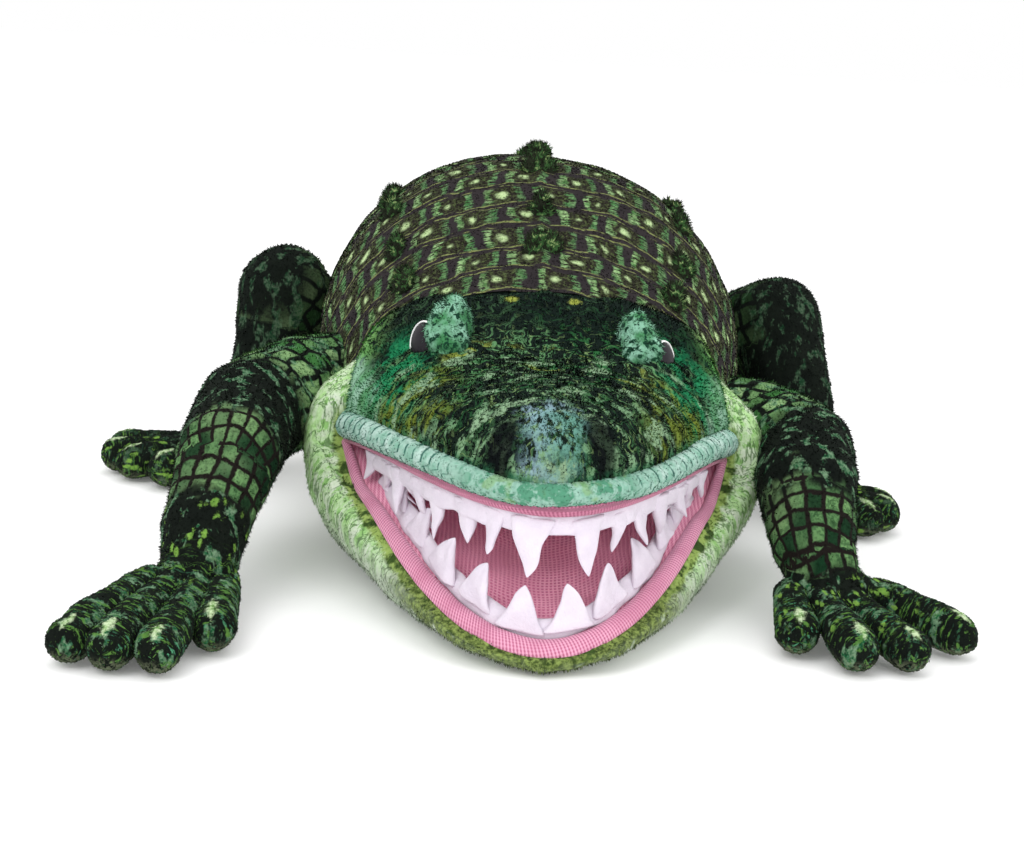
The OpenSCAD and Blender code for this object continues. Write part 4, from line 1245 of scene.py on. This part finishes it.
# ---------------------------------------------------------------- mouth lining
def lining():
    """Rose mesh from the upper binding over the palate, round the throat and out to the lower band."""
    n, cols = 150, 90
    vv = eased(n)
    ux, uy = mouth_edge(vv, UPPER_LENGTH - 5, UPPER_SLIM, MOUTH_HALF - 1)
    upper = np.stack([ux, uy, LIP_Z - 6 - 4 * vv ** 8], -1)
    low = jaw_edge(vv, 2.5, 0.2)
    throat = np.stack([84 * vv, -130 - 3 * vv ** 8, 0 * vv + 61], -1)
    palate = upper * 0.5 + throat * 0.5
    palate[:, 2] = 68.5
    floor = low * 0.5 + throat * 0.5
    floor[:, 2] += 1.0 - 2.0 * vv * vv
    near = low * 0.8 + throat * 0.2
    near[:, 2] -= 0.5
    stack = np.stack([upper, palate, throat, floor, near, low])
    grid = through(stack, np.linspace(0, 1, cols)).transpose(1, 0, 2)
    deep = lengths(grid, 1)
    printed = print_grid(grid[:, :, 0], deep - deep[:, -1:], 0.0)
    points = grid.reshape(-1, 3)
    points[:, 2] += 0.9 * lumps(points, 16, 71) * smooth_step(-points[:, 1], 110, 150)
    return tidy(add_mesh("mouth_lining", points, grid_faces(n, cols), LINING, "mouth_lining", printed))


mouth = lining()
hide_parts("palate_lining", "jaw_lining")
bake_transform(mouth)


# ---------------------------------------------------------------- teeth
def shaken(points, size, seed):
    """A smooth random move for each point, in all three directions."""
    return np.stack([lumps(points, size, seed + k) for k in range(3)], -1)


def tooth(root, out, side, length, wide, thick, bend, curl, seed):
    """One folded fleece tooth. root is the middle of its base, out the way it grows, side the way along
    the gum."""
    out, side = unit(out), unit(side)
    face = unit(np.cross(side, out))
    rows, cols = 16, 18
    turn = circle(cols)
    t = np.linspace(0, 1, rows)
    width = wide / 2 * (1 - t) ** 0.8 * (1 - 0.12 * np.sin(t * math.pi)) + 1.2 * np.sqrt(np.clip(1 - t, 0, 1))
    depth = thick / 2 * (1 - 0.62 * t) * np.sqrt(np.clip(1 - t ** 6, 0.001, 1))
    width[-1], depth[-1] = 0.15, 0.15
    lean = length * t ** 2
    middle = root + np.outer(t * length, out) + np.outer(curl * lean, side) + np.outer(bend * lean, face)
    around, through_it = np.cos(turn), np.sin(turn)
    crease = np.exp(-((around - 0.15) / 0.22) ** 2) * (through_it > 0)
    thickness = np.sign(through_it) * np.abs(through_it) ** 0.8 - 0.35 * crease
    across, deep = np.outer(width, around)[..., None] * side, np.outer(depth, thickness)[..., None] * face
    points = (middle[:, None] + across + deep).reshape(-1, 3)
    crumple = 0.8 * shaken(points, 6, seed) + 1.5 * shaken(points, 13, seed + 3)
    loose = np.repeat(np.minimum(1, 2.5 * (1 - t) + 0.2), cols)[:, None]
    return points + crumple * loose, capped_faces(rows, cols)


def gum_strip(path, out, height, thick, seed):
    """The strip of fleece that the teeth are cut from, along path. out is the way they grow at each point."""
    sides = 14
    run = unit(np.gradient(path, axis=0))
    out = unit(out - np.sum(out * run, axis=1, keepdims=True) * run)
    half = np.full(len(path), 0.5)
    middle = path + out * height / 2
    points = rings(middle, out, np.cross(run, out), circle(sides), height * half, thick * half)
    return points + shaken(points, 7, seed), capped_faces(len(path), sides)


def tooth_row(name, strip, places, root_at, gum_at, out_at, seed):
    """A fleece strip and its teeth as one piece. root_at gives a tooth's root and gum_at the line of the gum
    at a place v along the mouth, and out_at the way that a tooth grows at its root."""
    parts = [strip]
    for k, (v, length, wide, curl, bend) in enumerate(places):
        root = root_at(v)
        ahead = gum_at(v + 0.01) - gum_at(v - 0.01)
        parts.append(tooth(root, out_at(root), ahead, length, wide, 5.0, bend, curl, seed + 5 * k))
    return rounded(tidy(add_mesh(name, *merged(parts), TOOTH, "tooth_fleece")))


# each tooth: place along the mouth, length, width, sideways lean, bend
UPPER_TEETH = [
    (-0.88, 13, 12, -0.35, -0.2), (-0.82, 15, 10, -0.5, 0.2), (-0.75, 19, 13, 0.15, -0.1),
    (-0.66, 22, 10, 0.1, 0.35), (-0.56, 21, 11, 0.05, -0.05), (-0.42, 17, 14, 0.15, 0.0),
    (-0.28, 18, 15, 0.0, -0.15), (-0.08, 24, 17, -0.05, 0.0), (0.20, 24, 16, 0.12, 0.0),
    (0.38, 17, 13, -0.05, 0.1), (0.50, 18, 14, 0.25, -0.1), (0.62, 19, 12, 0.35, 0.1),
    (0.72, 15, 10, 0.5, -0.2), (0.80, 16, 12, 0.2, 0.25), (0.87, 12, 12, 0.1, -0.1),
    (-0.79, 15, 9, 0.75, 0.5), (-0.70, 13, 8, -0.7, 0.6), (0.67, 13, 8, 0.7, 0.6), (0.76, 14, 9, -0.75, 0.5),
]
LOWER_TEETH = [
    (-0.87, 12, 14, 0.1, 0.0), (-0.79, 15, 17, 0.15, 0.1), (-0.68, 16, 18, 0.25, 0.0),
    (-0.52, 18, 20, 0.2, 0.1), (-0.34, 19, 19, 0.12, 0.0), (-0.12, 18, 19, 0.05, -0.05),
    (0.14, 19, 20, -0.05, 0.0), (0.36, 20, 21, -0.05, 0.1), (0.55, 19, 20, -0.15, 0.0),
    (0.70, 17, 17, -0.2, 0.1), (0.80, 15, 15, -0.1, 0.0), (0.87, 12, 12, 0.0, 0.0),
]
# places along the mouth where the strips of teeth run
STRIP = np.linspace(-0.90, 0.90, 150)


def upper_gum(v):
    """Where the upper strip is sewn, at v along the lip."""
    x, y = mouth_edge(v, UPPER_LENGTH - 5.5, UPPER_SLIM, MOUTH_HALF - 4)
    return np.stack([x, y, 0 * x + LIP_Z - 8.0], -1)


def upper_teeth():
    """Hanging strip with teeth: places, lengths and leans are irregular, as sewn fleece is."""
    strip = gum_strip(upper_gum(STRIP), np.tile([0.0, -0.10, -1.0], (len(STRIP), 1)), 11.0, 3.2, 81)
    return tooth_row("upper_teeth_fleece", strip, UPPER_TEETH, seed=90, gum_at=upper_gum,
                     root_at=lambda v: upper_gum(v) + (0, 0, -4.0), out_at=lambda root: (0.0, -0.12, -1.0))


def inward(points):
    """Level ways from points on the lower jaw towards the middle of the mouth."""
    return unit((0, -190, 0) - points * (1, 1, 0))


def lower_teeth():
    """Standing strip inside the band, with fewer and wider teeth."""
    path = jaw_edge(STRIP, BAND_WIDTH + 0.5, 0.0)
    strip = gum_strip(path, JAW_UP + 0.75 * inward(path), 9.0, 3.6, 181)
    return tooth_row("lower_teeth_fleece", strip, LOWER_TEETH, seed=190, gum_at=jaw_edge,
                     root_at=lambda v: jaw_edge(v, BAND_WIDTH + 1.5, 3.0),
                     out_at=lambda root: JAW_UP + 0.35 * inward(root))


high_teeth = upper_teeth()
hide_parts("upper_teeth")
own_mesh(high_teeth)
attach(high_teeth, "head")
low_teeth = lower_teeth()
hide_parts("lower_teeth")
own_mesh(low_teeth)
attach(low_teeth, "lower_jaw")


# ---------------------------------------------------------------- eyes
# how much lower than its twin each eye and lid is sewn, in mm
EYE_DROP = {"left": 0.0, "right": 3.0}


def eye(side):
    """A domed plastic eye with a white rim, looking out and forwards, under a plush lid."""
    name = "left" if side < 0 else "right"
    centre = np.array([side * 50.0, -151.5, 106.5 - EYE_DROP[name]])
    look_way = unit((side * 0.84, -0.52, 0.16))
    across = unit(np.cross(look_way, (0, 0, 1.0)))
    up = np.cross(across, look_way)
    rows, cols = 26, 48
    # radius and height above the eye's middle plane, from the middle of the dome round to its base
    profile = [(0.0, 5.0), (2.4, 4.8), (4.8, 4.2), (6.8, 3.3), (8.1, 2.4), (8.5, 1.8), (9.0, 1.2),
               (9.1, -0.2), (8.6, -1.0), (0.01, -1.0)]
    rim = [(8.3, 2.0), (8.5, 2.5), (8.9, 2.6), (9.2, 2.2), (9.3, 1.7), (9.1, 1.3), (8.7, 1.2), (8.3, 1.6)]
    for label, shape, material in (("eye", profile, EYE), ("eye_rim", rim, RIM)):
        radius, height = through(shape, np.linspace(0, 1, rows)).T
        points = rings(centre + np.outer(height, look_way), across, up, circle(cols), radius, radius)
        faces = grid_faces(rows, cols, True)
        piece = tidy(add_mesh(f"{name}_{label}", points, faces, material, "eye_plastic"))
        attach(piece, "head")
        if label == "eye":
            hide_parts(f"eye_{name}")


def eyelid(side):
    """Plush mound behind the eye, folded over its top."""
    name = "left" if side < 0 else "right"
    drop = EYE_DROP[name]
    parts = [
        ball((side * 39.5, -147, 112 - drop), (9.0, 13, 15.5)),
        ball((side * 40, -154, 104 - drop), (9.5, 12, 14)),
        ball((side * 43.5, -151, 110 - drop), (8, 12, 10)),
        ball((side * 44, -144, 100 - drop), (12, 15, 8)),
    ]
    points, faces = remeshed(f"lid_{name}", parts, 1.6, 5)
    piece = add_mesh(f"{name}_eyelid", points, faces, EYELID, "eyelid_plush")
    co, normals = mesh_arrays(piece)
    fold = co[:, 0] * side - 44.5 + 0.1 * (co[:, 1] + 150)
    crease = np.exp(-(fold / 1.6) ** 2) * (co[:, 2] > 104 - drop)
    push = 1.0 * lumps(co, 9, 7) + 0.5 * lumps(co, 3.5, 8) - 1.2 * crease
    move_points(piece, co + normals * push[:, None])
    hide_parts(f"eyelid_{name}")
    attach(piece, "head")
    return piece


lids = []
for side in (-1, 1):
    eye(side)
    lids.append(eyelid(side))


# ---------------------------------------------------------------- legs
def distance_to(points, a, b):
    """Distance of each point from the line between a and b."""
    run = b - a
    t = np.clip((points - a) @ run / (run @ run), 0, 1)
    return np.linalg.norm(points - (a + t[:, None] * run), axis=1)


def leg_print(points, lines):
    """Print place of a leg's points: along it, around it and, near the toe tips, how pale the claw is.
    Each line is (start, end, distance along the leg at its start, radius, whether it's a toe)."""
    best = np.full(len(points), np.inf)
    printed = np.zeros((len(points), 3))
    for a, b, start, radius, is_toe in lines:
        far = distance_to(points, a, b) - radius
        run = unit(b - a)
        side = unit(np.cross(run, (0, 0, 1.0) if abs(run[2]) < 0.95 else (0, -1.0, 0)))
        along, across, above = ((points - a) @ way for way in (run, side, np.cross(side, run)))
        claw = np.zeros(len(points))
        if is_toe:
            left = np.linalg.norm(b - a) + TOE_RADIUS - along
            oval = (across / 3.0) ** 2 + ((left - 8.5) / 6.5) ** 2
            claw = np.clip(1.25 - oval, 0, 1) * (above > 2)
        here = np.stack([start + along, np.arctan2(across, above) * radius, claw], -1)
        closer = far < best
        best = np.where(closer, far, best)
        printed = np.where(closer[:, None], here, printed)
    return printed


def leg(name, material, joints, ankle, toes):
    """One leg, from inside the body to its toe tips, as a single skin."""
    path = [np.array(j[:3], float) for j in joints] + [np.array(ankle[:3], float)]
    radii = [j[3] for j in joints] + [ankle[3]]
    parts = [rod(a, b, ra, rb) for a, b, ra, rb in zip(path, path[1:], radii, radii[1:])]
    toes = np.array(toes, float)
    toe_lines, toe_parts = [], []
    for tip, aside in zip(toes, 0.34 * (toes - toes.mean(axis=0))):
        end = np.array([*tip, TOE_RADIUS + 0.2])
        root = path[-1] + 0.18 * (end - path[-1]) + (*aside, -3.0)
        stop = end - unit(end - root) * TOE_RADIUS
        toe_lines.append((root, stop))
        toe_parts.append(rod(root, stop, TOE_RADIUS * 0.76, TOE_RADIUS, bulge=0.04))
        parts.append(rod(path[-1], root * 0.9 + stop * 0.1, 11.0, TOE_RADIUS * 0.6))
    points, faces = merged([remeshed(name, parts, 2.3, 3), *toe_parts])
    points[:, 2] = np.maximum(points[:, 2], 0.7)
    starts = lengths(np.array(path))
    lines = [(*line, False) for line in zip(path, path[1:], starts, radii[1:])]
    lines += [(a, b, starts[-1] + np.linalg.norm(a - path[-1]), TOE_RADIUS + 0.5, True) for a, b in toe_lines]
    piece = add_mesh(name, points, faces, material, "leg_plush", leg_print(points, lines))
    co, normals = mesh_arrays(piece)
    push = 1.2 * lumps(co, 20, 51) + 0.6 * lumps(co, 8, 52) + 0.4 * lumps(co, 3.4, 53)
    push *= smooth_step(co[:, 2], 1, 8)
    co = co + normals * push[:, None]
    co[:, 2] = np.maximum(co[:, 2], 0.6)
    move_points(piece, co)
    return piece, path[-2:]


leg_skins = []
for name, plan in LEGS.items():
    piece, (wrist, ankle) = leg(name, LEG if name.startswith("front") else HIND_PAINTED_SHADE, **plan)
    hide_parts(*[f"{name}_{part}" for part in ("leg_skin", "leg_filling", "paw_skin", "paw_filling")])
    bend = bending()
    bend(piece)
    leg_skins.append((piece, bend))


# ---------------------------------------------------------------- hand sleeve
def sleeve():
    """Cloth tunnel from the belly slot up into the body, and its bound hem."""
    rows, cols = 30, 72
    turn = circle(cols)
    t = np.linspace(0, 1, rows)
    ring = np.stack([SLOT_HALF_X * np.cos(turn), SLOT_Y + SLOT_HALF_Y * np.sin(turn), 0 * turn], -1)
    shift = through([(0, 0, 1.2), (0, -4, 14), (0, -16, 30), (0, -34, 42)], t)
    points = (ring + shift[:, None]).reshape(-1, 3)
    printed = print_grid(turn * 38, lengths(shift)[:, None], 0.0)
    out = unit((points - (0, 60, 0)) * (1, 1, 0))
    loose = 1.5 * lumps(points, 13, 91) * np.repeat(smooth_step(t, 0, 0.2), cols)
    cloth = add_mesh("hand_tunnel", points + out * loose[:, None], grid_faces(rows, cols, True), CLOTH,
                     "sleeve_cloth", printed)
    closed = np.concatenate([ring, ring[:2]]) + (0, 0, 3.2)
    return cloth, tube("tunnel_hem", closed, 2.4, CLOTH, 12, "sleeve_cloth")


tunnel, hem = sleeve()
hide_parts("hand_sleeve")
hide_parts("sleeve_hem")
for piece in (tunnel, hem):
    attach(piece, "body")

for name, bend in BODY_BENDS.items():
    bend(body[name])


# ---------------------------------------------------------------- pile
def grow(piece, spacing, length, lay, seed, follow):
    """Pile on a piece; follow gives it the joint behaviour of that piece."""
    follow(pile(piece, spacing, length, lay, seed))


grow(head, 1.3, 1.7, (0, -1.1, 0), 1, riding("head"))
grow(lip, 1.5, 0.9, (0, 0, -1.0), 2, riding("head"))
grow(jaw, 1.5, 1.3, (0, -0.5, -1.1), 3, JAW_BEND)
for k, lid in enumerate(lids):
    grow(lid, 0.8, 1.5, (0, -0.3, -0.8), 4 + k, riding("head"))
for k, (row, name) in enumerate(scute_rows):
    grow(row, 0.8, 2.2, (0, 0.3, 0.3), 6 + k, riding(name))
for k, (name, spacing) in enumerate((("body_front", 2.2), ("body_back", 3.4), ("tail", 3.4))):
    grow(body[name], spacing, 1.2, (0, 1.0, -0.5), 11 + k, BODY_BENDS[name])
for k, (skin, bend) in enumerate(leg_skins):
    grow(skin, 1.7, 1.4, (0, -0.7, -0.7), 14 + k, bend)

# carried-over CAD nodes that stay: boards and washers
for node, material in (("palate_board", BOARD), ("jaw_board", BOARD), ("eye_washers", WASHER)):
    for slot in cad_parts[node].material_slots:
        slot.material = material


# ---------------------------------------------------------------- floor, light, camera, in metres
LIGHT_AIM = (0, -0.1, 0.06)
CAMERA_PLACE = (-0.0495, -1.020, 0.259)
CAMERA_LENS, CAMERA_SENSOR = 72.95, 36.0
CAMERA_PITCH, CAMERA_YAW, CAMERA_ROLL = math.radians(12.0), math.radians(2.5), math.radians(3.5)


def stage():
    """A large white floor."""
    mesh = bpy.data.meshes.new("floor")
    reach = 6.0
    corners = [(x * reach, y * reach, 0) for x, y in ((-1, -1), (1, -1), (1, 1), (-1, 1))]
    mesh.from_pydata(corners, [], [(0, 1, 2, 3)])
    mesh.materials.append(floor_paint())
    floor = bpy.data.objects.new("floor", mesh)
    bpy.context.scene.collection.objects.link(floor)


def light(name, place, size, power):
    """A square soft light that faces the puppet."""
    lamp = bpy.data.lights.new(name, "AREA")
    lamp.size, lamp.energy = size, power
    lit = bpy.data.objects.new(name, lamp)
    lit.location = place
    lit.rotation_mode = "QUATERNION"
    lit.rotation_quaternion = (Vector(LIGHT_AIM) - Vector(place)).to_track_quat("-Z", "Y")
    bpy.context.scene.collection.objects.link(lit)


stage()
light("key", (-0.9, -1.3, 1.5), 1.1, 12)
light("fill", (1.4, -1.0, 0.9), 1.4, 6)
light("top", (0.0, 0.3, 1.9), 1.6, 8)
light("front", (0.0, -1.8, 0.5), 1.2, 5)
world = bpy.data.worlds.new("studio")
world.use_nodes = True
background = world.node_tree.nodes["Background"]
background.inputs["Color"].default_value = (1, 1, 1, 1)
background.inputs["Strength"].default_value = 1.0
bpy.context.scene.world = world
bpy.context.scene.view_settings.view_transform = "Standard"


def camera():
    """The camera looks down from slightly to the left of the snout, rolled a few degrees."""
    pitch, yaw, roll = CAMERA_PITCH, CAMERA_YAW, CAMERA_ROLL
    forward = Vector((math.sin(yaw) * math.cos(pitch), math.cos(yaw) * math.cos(pitch), -math.sin(pitch)))
    level = Vector((math.cos(yaw), -math.sin(yaw), 0.0))
    upright = level.cross(forward)
    right = level * math.cos(roll) + upright * math.sin(roll)
    up = upright * math.cos(roll) - level * math.sin(roll)
    turn = Matrix((right, up, -forward)).transposed()
    lens = bpy.data.cameras.new("camera")
    lens.sensor_width, lens.lens = CAMERA_SENSOR, CAMERA_LENS
    lens.clip_start, lens.clip_end = 0.05, 20.0
    view = bpy.data.objects.new("camera", lens)
    view.matrix_world = Matrix.Translation(CAMERA_PLACE) @ turn.to_4x4()
    bpy.context.scene.collection.objects.link(view)
    bpy.context.scene.camera = view


camera()
